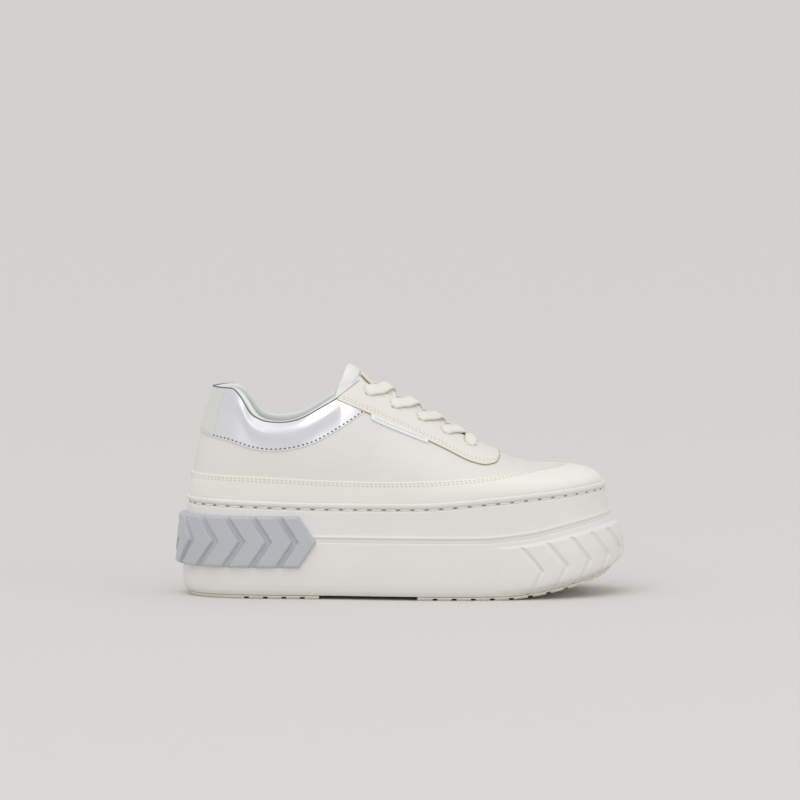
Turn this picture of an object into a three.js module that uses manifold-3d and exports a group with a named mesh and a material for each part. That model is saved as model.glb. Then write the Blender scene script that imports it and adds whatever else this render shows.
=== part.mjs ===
// A platform sneaker for the right foot, about size EU 38, as the pieces that a maker puts together.
// Millimetres. +X is the toe, -Y the outer (lateral) side, +Z up; the origin is on the floor under
// the middle. The sole, the upper and everything on it come from one last: see SECTIONS.
import * as THREE from 'three';
import { mergeVertices } from 'three/addons/utils/BufferGeometryUtils.js';
import Module from 'manifold-3d';

const wasm = await Module();
wasm.setup();

// ---------------------------------------------------------------- driving sizes
const GAP = 0.3;                 // clearance between two pieces that meet
const UPPER_WALL = 2;            // thickness of the upper
const EYESTAY_THICK = 1.2;       // how far the lace facing stands proud
const TONGUE_THICK = 4.5;        // padded tongue
const TONGUE_WING = { x: -44, z: 127.8 };   // lower end of the tongue's top edge
const TONGUE_CLEAR = 1.9;        // how far the tongue lies inside the upper
const INSOLE_THICK = 4;
const TREAD_THICK = 2.1;         // the two outsole pads
const TUCK = 2;                  // the upper narrows by this much down to the footbed
const LACE = { width: 7.6, thick: 1.6 };
const EYELET_RADIUS = 2.2;
const STEPS = 3;                 // facets between two rows of SECTIONS

// One row for each section of the last, from the toe tip (first) round to the back of the heel.
// x, lateral, medial: the feather line, where the upper leaves the rim of the sole.
// centre, topX, topZ, topHalf: top of the section; topHalf is 0 along the instep ridge and
// opens into the ankle behind it. bellyOut, bellyUp and crownOut, crownDown: the two handles of
// the section's curve, at the feather line and at the top.
const SECTION_COLUMNS = ['x', 'lateral', 'medial', 'centre', 'topX', 'topZ', 'topHalf',
  'bellyOut', 'bellyUp', 'crownOut', 'crownDown'];
const SECTIONS = table(SECTION_COLUMNS, [
  [127, 7, 7, 7, 104, 80.8, 0, 0.5, 4, 14, 0],
  [121.5, -13.5, 27, 7, 101.5, 80.9, 0, 0.8, 5, 17, 0],
  [105, -31, 41, 6, 94, 81.4, 0, 1.2, 7, 22, 0],
  [80, -41.5, 45.6, 5, 77, 84, 0, 1.6, 10, 27, 0],
  [52, -46.5, 46.3, 4, 52, 93.8, 0, 2, 15, 27, 0],
  [22, -47, 42, 2.5, 24, 110.8, 0, 2.2, 20, 26, 3],
  [-8, -44, 36, 1, -4, 127.8, 0, 2.4, 26, 27, 4],
  [-38, -39.5, 32.5, 0, -36, 145.8, 0, 2.6, 32, 26, 7],
  [-68, -36, 32, 0, -58, 150, 24, 2.8, 30, 4, 35],
  [-94, -33.5, 32.2, 0, -80, 150, 27, 2.8, 28, 3, 35],
  [-114, -28, 28, 0, -98, 150, 23, 2.6, 25, 3, 35],
  [-127.5, -16.5, 16.5, 0, -109, 150, 13, 2, 22, 7, 35],
  [-132, 0, 0, 0, -113, 150, 0, 1, 20, 10, 35],
]);

// Heights along the shoe: the rim of the sole, the footbed inside it, the raised line at half
// height of the wall, the top of the toe bumper, and the tread face with its toe spring.
const RIM = table(['x', 'z'], [[-134, 63.2], [-43, 60.8], [11, 61.2], [61, 65], [126, 71.4], [145, 73.5]]);
const FOOTBED = table(['x', 'z'], [[-134, 48], [-60, 46], [40, 42], [90, 45], [130, 52]]);
const MID_LINE = table(['x', 'z'], [[-140, 39.4], [48, 39.4], [77, 41.8], [106, 48], [134, 54.5], [145, 56.6]]);
const BUMPER_TOP = table(['x', 'z'], [[-140, 32.8], [62, 32.8], [138, 48], [145, 49.3]]);
const GROUND = table(['x', 'z'], [[-140, 0], [64, 0], [82, 1.5], [104, 5.8], [125, 11.6], [135, 16.8], [142, 24.5]]);

// The wall of the sole: how far it stands outside the feather line at each part of its height,
// from the tread (0) to the rim (1), at the heel, along the sides and at the toe.
const WALL = table(['part', 'heel', 'side', 'toe'], [
  [0, 2.6, 3.6, 8.4],
  [0.05, 4.8, 5.2, 10.4],
  [0.14, 5.6, 5.8, 12],
  [0.3, 5.4, 5.6, 11.6],
  [0.5, 4.6, 4.8, 9],
  [0.7, 3.4, 4, 5.4],
  [1, 2.4, 3, 3],
]);
const HALF_WAY_UP = 36;
const TOE_BUMPER = { start: 58, full: 92, proud: 3.2, bevel: 1, round: 5 };

// The grey heel wrap: where its arrow ends start, its height, and how far it stands proud.
const WRAP = { tipX: -52.1, cornerBack: 11, top: 52.2, bottom: 19.8, side: 2.3, back: 4.9 };
const WRAP_CHEVRONS = { first: -65.3, pitch: 16.7, count: 6, back: 11.4, width: 2.9, depth: 1.3 };
const TOE_CHEVRONS = { first: 86.5, pitch: 16.7, count: 5, back: 13.4, width: 3, depth: 1.5 };

// Side views, x against height. The collar falls from the heel tab to the ankle and climbs to the
// corner of the facing; the facing's lower edge runs down to the vamp and round its front end.
const COLLAR = table(['x', 'z'], [[-104.5, 131.4], [-99, 124.4], [-95, 117.2], [-88.5, 112.5], [-79.5, 110.6],
  [-70, 110.9], [-61.5, 113.2], [-50.5, 119], [-40.2, 124.6]]);
const FACING_CORNER = { x: -24.5, z: 136.4 };
const FACING_EDGE = table(['x', 'z'], [[-40.2, 124.6], [-22.5, 117.2], [16, 99.6], [29, 93.4], [46.4, 85.3],
  [57, 83.3], [62.4, 84.8], [64, 89]]);
const THROAT = { frontX: 50, frontHalf: 8, backX: -30, backHalf: 12.5 };
const FACING_PLAN = { frontX: 64, centre: 4, half: 42, round: 9 };
const EYELETS = table(['x', 'z'], [[-20.6, 127.6], [-4.1, 119.2], [12.6, 111.1], [28.2, 102.6], [43.7, 94.8]]);
const LACE_BAR = { x: 45.6, z: 93.9 };
const HEEL_GROOVES = [-96.7, -84.8, -73.1, -61.5];
const FOREFOOT_GROOVES = [22, 34, 46, 58, 70, 82, 93.6, 104.6, 115];
const GROOVE = { width: 3, depth: 1.3 };
const HEEL_PAD_FRONT = -51;
const FOREFOOT_PAD_BACK = 11;

// ---------------------------------------------------------------- tables and curves
function table(columns, rows) {
  return rows.map((row) => Object.fromEntries(columns.map((name, i) => [name, row[i]])));
}

// Catmull-Rom blend of four neighbouring values.
function blend(a, b, c, d, t) {
  const bend = (2 * a - 5 * b + 4 * c - d) * t * t + (3 * b - a - 3 * c + d) * t * t * t;
  return 0.5 * (2 * b + (c - a) * t + bend);
}

// A column of SECTIONS at v, 0 at the toe and 1 at the heel. Rows past either end are those of
// the other side, so that the curves run smoothly round the toe and the heel.
function section(name, v, side) {
  const end = SECTIONS.length - 1;
  const row = Math.floor(v * end + 1e-9);
  const value = (i) => {
    const over = i < 0 || i > end;
    const j = i < 0 ? -i : i > end ? 2 * end - i : i;
    if (name !== 'y') return SECTIONS[j][name];
    return SECTIONS[j][over === (side === 'lateral') ? 'medial' : 'lateral'];
  };
  return blend(value(row - 1), value(row), value(row + 1), value(row + 2), v * end - row);
}

// A smooth height from a two-column table, by x.
function height(rows, x) {
  const last = rows.length - 1;
  let i = 0;
  while (i < last - 1 && x > rows[i + 1].x) i += 1;
  const t = THREE.MathUtils.clamp((x - rows[i].x) / (rows[i + 1].x - rows[i].x), 0, 1);
  const rate = (k) => (rows[k + 1].z - rows[k].z) / (rows[k + 1].x - rows[k].x);
  // level where the rows turn or run level, so that the curve never overshoots a row
  const slope = (k) => {
    const before = rate(Math.max(k - 1, 0));
    const after = rate(Math.min(k, last - 1));
    return before * after > 0 ? (2 * before * after) / (before + after) : 0;
  };
  const span = rows[i + 1].x - rows[i].x;
  const t2 = t * t;
  const t3 = t2 * t;
  return rows[i].z * (2 * t3 - 3 * t2 + 1) + span * slope(i) * (t3 - 2 * t2 + t)
    + rows[i + 1].z * (3 * t2 - 2 * t3) + span * slope(i + 1) * (t3 - t2);
}

// The feather line: its place and its outward direction, both level.
function feather(side, v) {
  const here = (w) => new THREE.Vector3(section('x', w), section('y', w, side), 0);
  const along = here(v + 0.002).sub(here(v - 0.002)).normalize();
  const sign = side === 'lateral' ? 1 : -1;
  return { point: here(v), out: new THREE.Vector3(-along.y * sign, along.x * sign, 0) };
}

// v on the feather line of one side at a given x.
function featherAt(side, x) {
  let low = 0;
  let high = 1;
  for (let i = 0; i < 40; i += 1) {
    const v = (low + high) / 2;
    if (section('x', v) > x) low = v;
    else high = v;
  }
  return (low + high) / 2;
}

// ---------------------------------------------------------------- the last
// A point of the last: t is 0 at the rim of the sole and 1 at the top of the section.
function lastPoint(side, v, t) {
  const foot = feather(side, v);
  const sign = side === 'lateral' ? -1 : 1;
  const start = foot.point.clone().setZ(height(RIM, foot.point.x));
  const half = Math.max(section('topHalf', v), 0);
  const top = new THREE.Vector3(section('topX', v), section('centre', v) + sign * half, section('topZ', v));
  const away = start.clone().sub(top).setZ(0).normalize();
  const belly = start.clone().addScaledVector(foot.out, section('bellyOut', v));
  belly.z += section('bellyUp', v);
  const crown = top.clone().addScaledVector(away, section('crownOut', v));
  crown.z -= section('crownDown', v);
  return new THREE.CubicBezierCurve3(start, belly, crown, top).getPoint(t);
}

// The same point moved off the last along its normal.
function offLast(side, v, t, offset) {
  const e = 0.004;
  const point = lastPoint(side, v, t);
  const onRidge = t > 1 - e && section('topHalf', v) < 0.5;
  let normal;
  if (onRidge) {
    const along = lastPoint(side, v + 5 * e, 1).sub(lastPoint(side, Math.max(v - 5 * e, 0), 1));
    normal = new THREE.Vector3(along.z, 0, -along.x);
  } else {
    const up = lastPoint(side, v, Math.min(t + e, 1)).sub(lastPoint(side, v, Math.max(t - e, 0)));
    const along = lastPoint(side, v + e, t).sub(lastPoint(side, v - e, t));
    normal = up.cross(along);
    const outward = feather(side, v).out;
    if (normal.dot(outward.setZ(0.4)) < 0) normal.negate();
  }
  if (onRidge && normal.z < 0) normal.negate();
  return point.addScaledVector(normal.normalize(), offset);
}

// v and t of the last where it has a given x and height on one side.
function findOnLast(side, x, z) {
  let v = featherAt(side, x);
  let t = 0.5;
  for (let turn = 0; turn < 30; turn += 1) {
    let low = 0;
    let high = 1;
    for (let i = 0; i < 24; i += 1) {
      t = (low + high) / 2;
      if (lastPoint(side, v, t).z < z) low = t;
      else high = t;
    }
    v += (lastPoint(side, v, t).x - x) / 400;
  }
  return { v, t };
}

// ---------------------------------------------------------------- solids
// A closed mesh from points and faces, with shared corners merged and empty faces dropped.
function closed(points, faces) {
  const geometry = new THREE.BufferGeometry();
  geometry.setAttribute('position', new THREE.Float32BufferAttribute(points.flatMap((p) => [p.x, p.y, p.z]), 3));
  geometry.setIndex(faces.flat());
  return geometry;
}

function solid(geometry, matrix) {
  const bare = geometry.clone();
  bare.deleteAttribute('normal');
  bare.deleteAttribute('uv');
  if (matrix) bare.applyMatrix4(matrix);
  const merged = mergeVertices(bare, 1e-4);
  const corners = Array.from(merged.index.array);
  const faces = [];
  for (let i = 0; i < corners.length; i += 3) {
    const [a, b, c] = corners.slice(i, i + 3);
    if (a !== b && b !== c && c !== a) faces.push(a, b, c);
  }
  const mesh = new wasm.Mesh({
    numProp: 3,
    vertProperties: new Float32Array(merged.attributes.position.array),
    triVerts: new Uint32Array(faces),
  });
  return new wasm.Manifold(mesh);
}

// v of each step from one place on the feather line to another, both sides alike.
function stations(from, to, count) {
  return Array.from({ length: count + 1 }, (_, i) => from + ((to - from) * i) / count);
}

const ALL_ROUND = stations(0, 1, STEPS * (SECTIONS.length - 1));

// A solid from level rings, lowest first. Each ring is a function (side, v) of the shoe's outline;
// the lateral side runs from toe to heel and the medial side back, and strips close both ends.
function stack(rings, vs) {
  const n = vs.length;
  const points = rings.flatMap((ring) => [
    ...vs.map((v) => ring('lateral', v)),
    ...vs.map((v) => ring('medial', v)).reverse(),
  ]);
  const around = 2 * n;
  const faces = [];
  const quad = (a, b, c, d) => faces.push([a, b, c], [a, c, d]);
  for (let level = 0; level + 1 < rings.length; level += 1) {
    for (let i = 0; i < around; i += 1) {
      const j = (i + 1) % around;
      quad(level * around + i, (level + 1) * around + i, (level + 1) * around + j, level * around + j);
    }
  }
  const top = (rings.length - 1) * around;
  for (let i = 0; i + 1 < n; i += 1) {
    const [a, b, c, d] = [i, i + 1, around - 2 - i, around - 1 - i];
    quad(a, b, c, d);
    faces.push([top + a, top + c, top + b], [top + a, top + d, top + c]);
  }
  return solid(closed(points, faces));
}

// A solid from cross-sections: each is a closed ring of points, and fans close the two ends.
function loft(sections) {
  const n = sections[0].length;
  const points = sections.flat();
  const faces = [];
  for (let s = 0; s + 1 < sections.length; s += 1) {
    for (let i = 0; i < n; i += 1) {
      const j = (i + 1) % n;
      const a = s * n;
      faces.push([a + i, a + j, a + n + j], [a + i, a + n + j, a + n + i]);
    }
  }
  const end = (sections.length - 1) * n;
  for (let i = 1; 2 * i < n; i += 1) {
    const [a, b, c, d] = [i - 1, i, n - 1 - i, n - i];
    const strip = [[a, c, b], [a, d, c]];
    strip.forEach(([p, q, r]) => faces.push([p, q, r], [end + p, end + r, end + q]));
  }
  // the sections may run either way round, so the faces are turned to look out
  const volume = faces.reduce((sum, [a, b, c]) => sum + points[a].dot(points[b].clone().cross(points[c])), 0);
  return solid(closed(points, volume < 0 ? faces.map(([a, b, c]) => [a, c, b]) : faces));
}

// A prism from a side view (x against height) right across the shoe.
function acrossShoe(outline) {
  const wide = 160;
  const shape = new THREE.Shape(outline.map((p) => new THREE.Vector2(p.x, p.z)));
  const prism = new THREE.ExtrudeGeometry(shape, { depth: wide, bevelEnabled: false });
  const upright = new THREE.Matrix4().makeRotationX(Math.PI / 2).setPosition(0, wide / 2, 0);
  return solid(prism, upright);
}

// A prism from a top view, from the floor to above the shoe.
function upShoe(outline) {
  const shape = new THREE.Shape(outline);
  return solid(new THREE.ExtrudeGeometry(shape, { depth: 200, bevelEnabled: false }));
}

function smooth(rows, perSpan) {
  const curve = new THREE.SplineCurve(rows.map((row) => new THREE.Vector2(row.x, row.z)));
  return curve.getPoints(perSpan * (rows.length - 1)).map((p) => ({ x: p.x, z: p.y }));
}

// ---------------------------------------------------------------- sole
function wallTable(part, name) {
  const rows = WALL.map((row) => ({ x: row.part, z: row[name] }));
  return height(rows, part);
}

// How far the wall stands outside the feather line at a height.
function wallOffset(side, v, part) {
  const { out } = feather(side, v);
  const toe = Math.max(out.x, 0) ** 2;
  const heel = Math.max(-out.x, 0) ** 2;
  return toe * wallTable(part, 'toe') + heel * wallTable(part, 'heel')
    + (1 - toe - heel) * wallTable(part, 'side');
}

function underside(side, v) {
  const foot = feather(side, v);
  return height(GROUND, foot.point.x + foot.out.x * wallOffset(side, v, 0));
}

// The toe bumper swells out of the wall, up to its own bevelled edge.
function bumperSwell(side, v, z) {
  const x = feather(side, v).point.x;
  const grow = THREE.MathUtils.smoothstep(x, TOE_BUMPER.start, TOE_BUMPER.full);
  const under = THREE.MathUtils.clamp((height(BUMPER_TOP, x) - z) / (2 * TOE_BUMPER.bevel) + 0.5, 0, 1);
  return TOE_BUMPER.proud * grow * under;
}

// A point on the outer wall of the sole at a height, moved out by extra.
function wallPoint(side, v, z, extra = 0) {
  const foot = feather(side, v);
  const low = underside(side, v) + TREAD_THICK + GAP;
  const rim = height(RIM, foot.point.x);
  const part = THREE.MathUtils.clamp((z - low) / (rim - low), 0, 1);
  const swell = bumperSwell(side, v, z) * THREE.MathUtils.smoothstep(z - low, 0, TOE_BUMPER.round);
  const off = wallOffset(side, v, part) + swell + extra;
  return foot.point.clone().addScaledVector(foot.out, off).setZ(z);
}

// Walks along the wall of the sole, half way up it, from v by a distance; a positive one goes
// towards the toe.
function walk(side, v, distance) {
  const step = 0.001;
  const at = (w) => wallPoint(side, w, HALF_WAY_UP);
  let left = Math.abs(distance);
  let w = v;
  let from = at(w);
  while (left > 0) {
    w -= Math.sign(distance) * step;
    const to = at(w);
    left -= to.distanceTo(from);
    from = to;
  }
  return w;
}

// A V-shaped groove along a path of { v, z }, in a surface that stands lift(v) outside the wall.
function wallGroove(side, path, width, depth, lift) {
  const sections = path.map(({ v, z }, i) => {
    const before = path[Math.max(i - 1, 0)];
    const after = path[Math.min(i + 1, path.length - 1)];
    const along = wallPoint(side, after.v, after.z).sub(wallPoint(side, before.v, before.z)).normalize();
    const out = feather(side, v).out;
    const across = out.clone().cross(along).normalize().multiplyScalar(width);
    const surface = wallPoint(side, v, z, lift(v));
    const ridge = surface.clone().addScaledVector(out, -depth);
    const proud = surface.clone().addScaledVector(out, depth);
    return [ridge, proud.clone().add(across), proud.clone().sub(across)];
  });
  return loft(sections);
}

// The path of one chevron: from its top end forward to the tip and back to its bottom end.
function chevron(side, tip, back, top, bottom) {
  const ends = walk(side, tip, -back);
  const rise = [0, 0.5, 1];
  const upper = rise.map((t) => ({ v: ends + (tip - ends) * t, z: top + ((bottom + top) / 2 - top) * t }));
  const lower = rise.slice(1).map((t) => ({ v: tip + (ends - tip) * t, z: (bottom + top) / 2 * (1 - t) + bottom * t }));
  return [...upper, ...lower];
}

function makeSole() {
  const part = (t) => (side, v) => {
    const low = underside(side, v) + TREAD_THICK + GAP;
    return low + (height(RIM, feather(side, v).point.x) - low) * t;
  };
  const from = (rows, drop) => (side, v) => height(rows, feather(side, v).point.x) + drop;
  // z and the extra offset of each level of the wall, from the tread up to the rounded rim
  const levels = [
    [part(0), 0], [part(0.05), 0], [part(0.14), 0], [part(0.36), 0],
    [from(BUMPER_TOP, -TOE_BUMPER.bevel), 0], [from(BUMPER_TOP, TOE_BUMPER.bevel), 0],
    [from(MID_LINE, -1.4), -0.7], [from(MID_LINE, 0), 0.5],
    [from(RIM, -6.2), 0], [from(RIM, -4.9), -1.2], [from(RIM, -2.8), 0.5], [from(RIM, -0.7), 0.3], [from(RIM, 0), -0.7],
  ];
  const clearOfWrap = (side, v, extra) => {
    const ahead = THREE.MathUtils.smoothstep(feather(side, v).point.x, WRAP.tipX - 6, WRAP.tipX + 4);
    return extra * ahead;
  };
  const rings = levels.map(([z, extra], i) => (side, v) => (
    wallPoint(side, v, z(side, v), i < levels.length - 5 ? clearOfWrap(side, v, extra) : extra)));
  let sole = stack(rings, ALL_ROUND).subtract(makeLast(GAP, 0, { tuckEase: 0.4 }));
  ['lateral', 'medial'].forEach((side) => {
    const first = featherAt(side, TOE_CHEVRONS.first);
    for (let i = 0; i < TOE_CHEVRONS.count; i += 1) {
      const tip = walk(side, first, i * TOE_CHEVRONS.pitch);
      const x = feather(side, tip).point.x;
      const top = height(BUMPER_TOP, x) - 3.5;
      const bottom = underside(side, tip) + TREAD_THICK + 3;
      const path = chevron(side, tip, TOE_CHEVRONS.back, top, bottom);
      sole = sole.subtract(wallGroove(side, path, TOE_CHEVRONS.width, TOE_CHEVRONS.depth, () => 0));
    }
  });
  return sole;
}

// ---------------------------------------------------------------- last-shaped solids
const FINE_LEVELS = [0, 0.17, 0.34, 0.5, 0.67, 0.84, 1];
const COARSE_LEVELS = [0, 0.25, 0.5, 0.75, 1];

// The last as a solid, offset by a distance, its bottom raised above the footbed by lift and
// its sides tucked in below the rim; deep leaves the offset of the bottom ring alone.
function makeLast(offset, lift, { tuckEase = 0, levels = FINE_LEVELS } = {}) {
  const bottom = (side, v) => {
    const foot = feather(side, v);
    const inset = TUCK - offset - tuckEase;
    return foot.point.clone().addScaledVector(foot.out, -inset).setZ(height(FOOTBED, foot.point.x) + lift);
  };
  const rings = [bottom, ...levels.map((t) => (side, v) => offLast(side, v, t, offset))];
  return stack(rings, ALL_ROUND);
}

function makeShell(inner, outer, lift) {
  return makeLast(outer, lift).subtract(makeLast(inner, -4, { levels: COARSE_LEVELS }));
}

function collarCutter() {
  const above = 190;
  const edge = smooth(COLLAR, 2);
  return acrossShoe([{ x: -170, z: COLLAR[0].z }, ...edge, FACING_CORNER, { x: FACING_CORNER.x, z: above },
    { x: -170, z: above }]);
}

function throatCutter() {
  const bow = stations(0, Math.PI, 6).map((a) => new THREE.Vector2(
    THROAT.frontX - THROAT.frontHalf + THROAT.frontHalf * Math.sin(a),
    4 - THROAT.frontHalf * Math.cos(a),
  ));
  return upShoe([...bow, new THREE.Vector2(THROAT.backX, THROAT.backHalf), new THREE.Vector2(THROAT.backX - 20, THROAT.backHalf),
    new THREE.Vector2(THROAT.backX - 20, -THROAT.backHalf), new THREE.Vector2(THROAT.backX, -THROAT.backHalf)]);
}

// The front of the facing is a rounded square from above.
function facingFront() {
  const { frontX, centre, half, round } = FACING_PLAN;
  const bow = stations(-1.25, 1.25, 10).map((q) => new THREE.Vector2(frontX - round * Math.abs(q) ** 4, centre + q * half));
  const back = [new THREE.Vector2(-60, 70), new THREE.Vector2(-60, -70)];
  return upShoe([...bow, ...back]);
}

function eyeletDrills() {
  const drills = [];
  ['lateral', 'medial'].forEach((side) => EYELETS.forEach(({ x, z }) => {
    const { v, t } = findOnLast(side, x, z);
    const inner = offLast(side, v, t, -6);
    const outer = offLast(side, v, t, 6);
    const drill = new THREE.CylinderGeometry(EYELET_RADIUS, EYELET_RADIUS, 12, 8);
    const turn = new THREE.Quaternion().setFromUnitVectors(new THREE.Vector3(0, 1, 0),
      outer.clone().sub(inner).normalize());
    const place = new THREE.Matrix4().compose(inner.add(outer).divideScalar(2), turn, new THREE.Vector3(1, 1, 1));
    drills.push(solid(drill, place));
  }));
  return drills;
}

const openCollar = collarCutter();
const openThroat = throatCutter();
const drills = eyeletDrills();

function makeUpper() {
  let upper = makeShell(-UPPER_WALL, 0, GAP).subtract(openCollar).subtract(openThroat);
  drills.forEach((drill) => { upper = upper.subtract(drill); });
  return upper;
}

function makeEyestay() {
  const edge = smooth(FACING_EDGE, 2);
  const region = acrossShoe([...edge, { x: 64, z: 190 }, { x: -60, z: 190 }, { x: -60, z: FACING_EDGE[0].z }]);
  let eyestay = makeLast(GAP + EYESTAY_THICK, 0).subtract(makeLast(GAP, -4));
  eyestay = eyestay.intersect(region).intersect(facingFront()).subtract(openCollar).subtract(openThroat);
  drills.forEach((drill) => { eyestay = eyestay.subtract(drill); });
  return eyestay;
}

// ---------------------------------------------------------------- tread, heel wrap, insole
// A pad of tread under the sole between two places along it, with grooves right across.
function makePad(fromX, toX, grooves) {
  const ring = (inset, rise) => (side, v) => {
    const foot = feather(side, v);
    const edge = foot.point.clone().addScaledVector(foot.out, wallOffset(side, v, 0) - inset);
    return edge.setZ(height(GROUND, edge.x) + rise);
  };
  const whole = stack([ring(1.4, 0), ring(0.5, 0.9), ring(0.5, TREAD_THICK)], ALL_ROUND);
  const length = new THREE.Matrix4().makeTranslation((fromX + toX) / 2, 0, 0);
  let pad = whole.intersect(solid(new THREE.BoxGeometry(toX - fromX, 200, 100), length));
  grooves.forEach((x) => {
    const cut = new THREE.BoxGeometry(GROOVE.width, 140, 2 * GROOVE.depth);
    const slope = (height(GROUND, x + 2) - height(GROUND, x - 2)) / 4;
    const place = new THREE.Matrix4().makeRotationY(-Math.atan(slope)).setPosition(x, 0, height(GROUND, x));
    pad = pad.subtract(solid(cut, place));
  });
  return pad;
}

const wrapStart = featherAt('lateral', WRAP.tipX);

// The heel wrap is thin at its arrow ends and thickest at the back.
function wrapProud(v) {
  const back = THREE.MathUtils.clamp((v - wrapStart) / (1 - wrapStart), 0, 1);
  return WRAP.side + (WRAP.back - WRAP.side) * back ** 1.4;
}

function makeWrap() {
  const columns = 26;
  const reach = 1 - wrapStart;
  const middle = (WRAP.top + WRAP.bottom) / 2;
  const rows = [
    { z: WRAP.bottom, off: 0 }, { z: WRAP.bottom + 2, off: 1 }, { z: middle, off: 1 },
    { z: WRAP.top - 2, off: 1 }, { z: WRAP.top, off: 0 },
  ];
  const sections = stations(-1, 1, columns).map((q) => {
    const side = q < 0 ? 'lateral' : 'medial';
    const at = (z, off) => {
      const fromTip = (Math.abs(z - middle) / (WRAP.top - middle)) * WRAP.cornerBack * Math.abs(q);
      const v = Math.min(walk(side, 1 - Math.abs(q) * reach, -fromTip), 1);
      return wallPoint(side, v, z, 1.5 * GAP + wrapProud(v) * off);
    };
    const outer = rows.map((row) => at(row.z, row.off));
    const inner = [...rows].reverse().slice(1, -1).map((row) => at(row.z, 0));
    return [...outer, ...inner];
  });
  let wrap = loft(sections);
  ['lateral', 'medial'].forEach((side) => {
    const first = featherAt(side, WRAP_CHEVRONS.first);
    for (let i = 0; i < WRAP_CHEVRONS.count; i += 1) {
      const tip = walk(side, first, -i * WRAP_CHEVRONS.pitch);
      const path = chevron(side, tip, WRAP_CHEVRONS.back, WRAP.top + 1, WRAP.bottom - 1);
      wrap = wrap.subtract(wallGroove(side, path, WRAP_CHEVRONS.width, WRAP_CHEVRONS.depth, wrapProud));
    }
  });
  return wrap;
}

function makeInsole() {
  const ring = (inset, rise) => (side, v) => {
    const foot = feather(side, v);
    return foot.point.clone().addScaledVector(foot.out, -inset).setZ(height(FOOTBED, foot.point.x) + rise);
  };
  const edge = TUCK + UPPER_WALL + 0.6;
  return stack([ring(edge, GAP), ring(edge, INSOLE_THICK - 1), ring(edge + 1, INSOLE_THICK)],
    stations(0, 1, 2 * (SECTIONS.length - 1)));
}

// ---------------------------------------------------------------- tongue and lace
function makeTongue() {
  const front = featherAt('lateral', 56);
  const topCentre = 6.93 / (SECTIONS.length - 1);
  const topWing = findOnLast('lateral', TONGUE_WING.x, TONGUE_WING.z);
  const sections = stations(0, 1, 12).map((k) => {
    const wing = 0.66 - 0.08 * k;
    const rise = THREE.MathUtils.smoothstep(k, 0.78, 0.97) * 5;
    const layer = (offset) => stations(-1, 1, 8).map((q) => {
      const side = q < 0 ? 'lateral' : 'medial';
      const end = topCentre + (topWing.v - topCentre) * q * q;
      const t = 1 - Math.abs(q) * (1 - wing);
      const thin = Math.abs(q) > 0.9 ? 0.4 : 1;
      return offLast(side, front + (end - front) * k, t, -UPPER_WALL - TONGUE_CLEAR + rise * Math.max(1 - (q / 0.5) ** 4, 0) - offset * thin);
    });
    return [...layer(0), ...layer(TONGUE_THICK).reverse()];
  });
  return loft(sections);
}

// A flat ribbon along a path of points with the direction that its face looks in.
function ribbon(path) {
  const sections = path.map(({ point, face }, i) => {
    const before = path[Math.max(i - 1, 0)].point;
    const after = path[Math.min(i + 1, path.length - 1)].point;
    const along = after.clone().sub(before).normalize();
    const across = along.clone().cross(face).normalize();
    const up = across.clone().cross(along).normalize();
    const corner = (a, b) => point.clone().addScaledVector(across, a * LACE.width).addScaledVector(up, b * LACE.thick);
    return [corner(-0.5, 0), corner(-0.38, -0.5), corner(0.38, -0.5), corner(0.5, 0), corner(0.38, 0.5), corner(-0.38, 0.5)];
  });
  return loft(sections);
}

// One run of lace from an eyelet over the throat to the far facing; reach is how far down the
// far side it goes, and hump lifts its middle.
function laceRun(side, fromEyelet, toEyelet, reach, hump, advance) {
  const far = side === 'lateral' ? 'medial' : 'lateral';
  const start = findOnLast(side, fromEyelet.x, fromEyelet.z);
  const end = findOnLast(far, toEyelet.x, toEyelet.z);
  const lift = GAP + EYESTAY_THICK + GAP + LACE.thick / 2 + 0.1;
  const at = (q, extra) => {
    const v = start.v + (end.v - start.v) * advance * (q + 1) / (reach + 1);
    const own = q < 0 ? start.t : end.t;
    return offLast(q < 0 ? side : far, v, 1 - Math.abs(q) * (1 - own), lift + extra);
  };
  return ribbon(stations(-1.05, reach, 6).map((q) => {
    const extra = hump * Math.max(1 - q * q, 0);
    const point = at(q, extra);
    return { point, face: at(q, extra + 1).sub(point) };
  }));
}

function makeCrossing(i) {
  const over = laceRun('lateral', EYELETS[i], EYELETS[i + 1], 0.5, 1.5, 0.6);
  const under = laceRun('medial', EYELETS[i], EYELETS[i + 1], 0.5, 0.3, 0.6);
  return over.add(under);
}

// ---------------------------------------------------------------- assembly
const group = new THREE.Group();

function addPiece(name, manifold, color, roughness) {
  const { vertProperties, triVerts } = manifold.getMesh();
  const geometry = new THREE.BufferGeometry();
  geometry.setAttribute('position', new THREE.BufferAttribute(vertProperties, 3));
  geometry.setIndex(new THREE.BufferAttribute(triVerts, 1));
  geometry.computeVertexNormals();
  const mesh = new THREE.Mesh(geometry, new THREE.MeshStandardMaterial({ color, roughness, metalness: 0 }));
  mesh.name = name;
  group.add(mesh);
}

addPiece('sole', makeSole(), 0xe6e5e1, 0.55);
addPiece('outsole_heel', makePad(-150, HEEL_PAD_FRONT, HEEL_GROOVES), 0xdcdac9, 0.7);
addPiece('outsole_forefoot', makePad(FOREFOOT_PAD_BACK, 150, FOREFOOT_GROOVES), 0xdcdac9, 0.7);
addPiece('heel_bumper', makeWrap(), 0xb4b8bd, 0.5);
addPiece('upper', makeUpper(), 0xe2e2dc, 0.6);
addPiece('eyestay', makeEyestay(), 0xebe9e0, 0.6);
addPiece('tongue', makeTongue(), 0xebebe8, 0.8);
addPiece('insole', makeInsole(), 0xd9dcd8, 0.9);
EYELETS.slice(0, -1).forEach((_, i) => addPiece(`lace_cross_${i + 1}`, makeCrossing(i), 0xebe9e0, 0.9));
addPiece('lace_bar', laceRun('lateral', LACE_BAR, LACE_BAR, 1.05, 0.4, 1), 0xebe9e0, 0.9);

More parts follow.
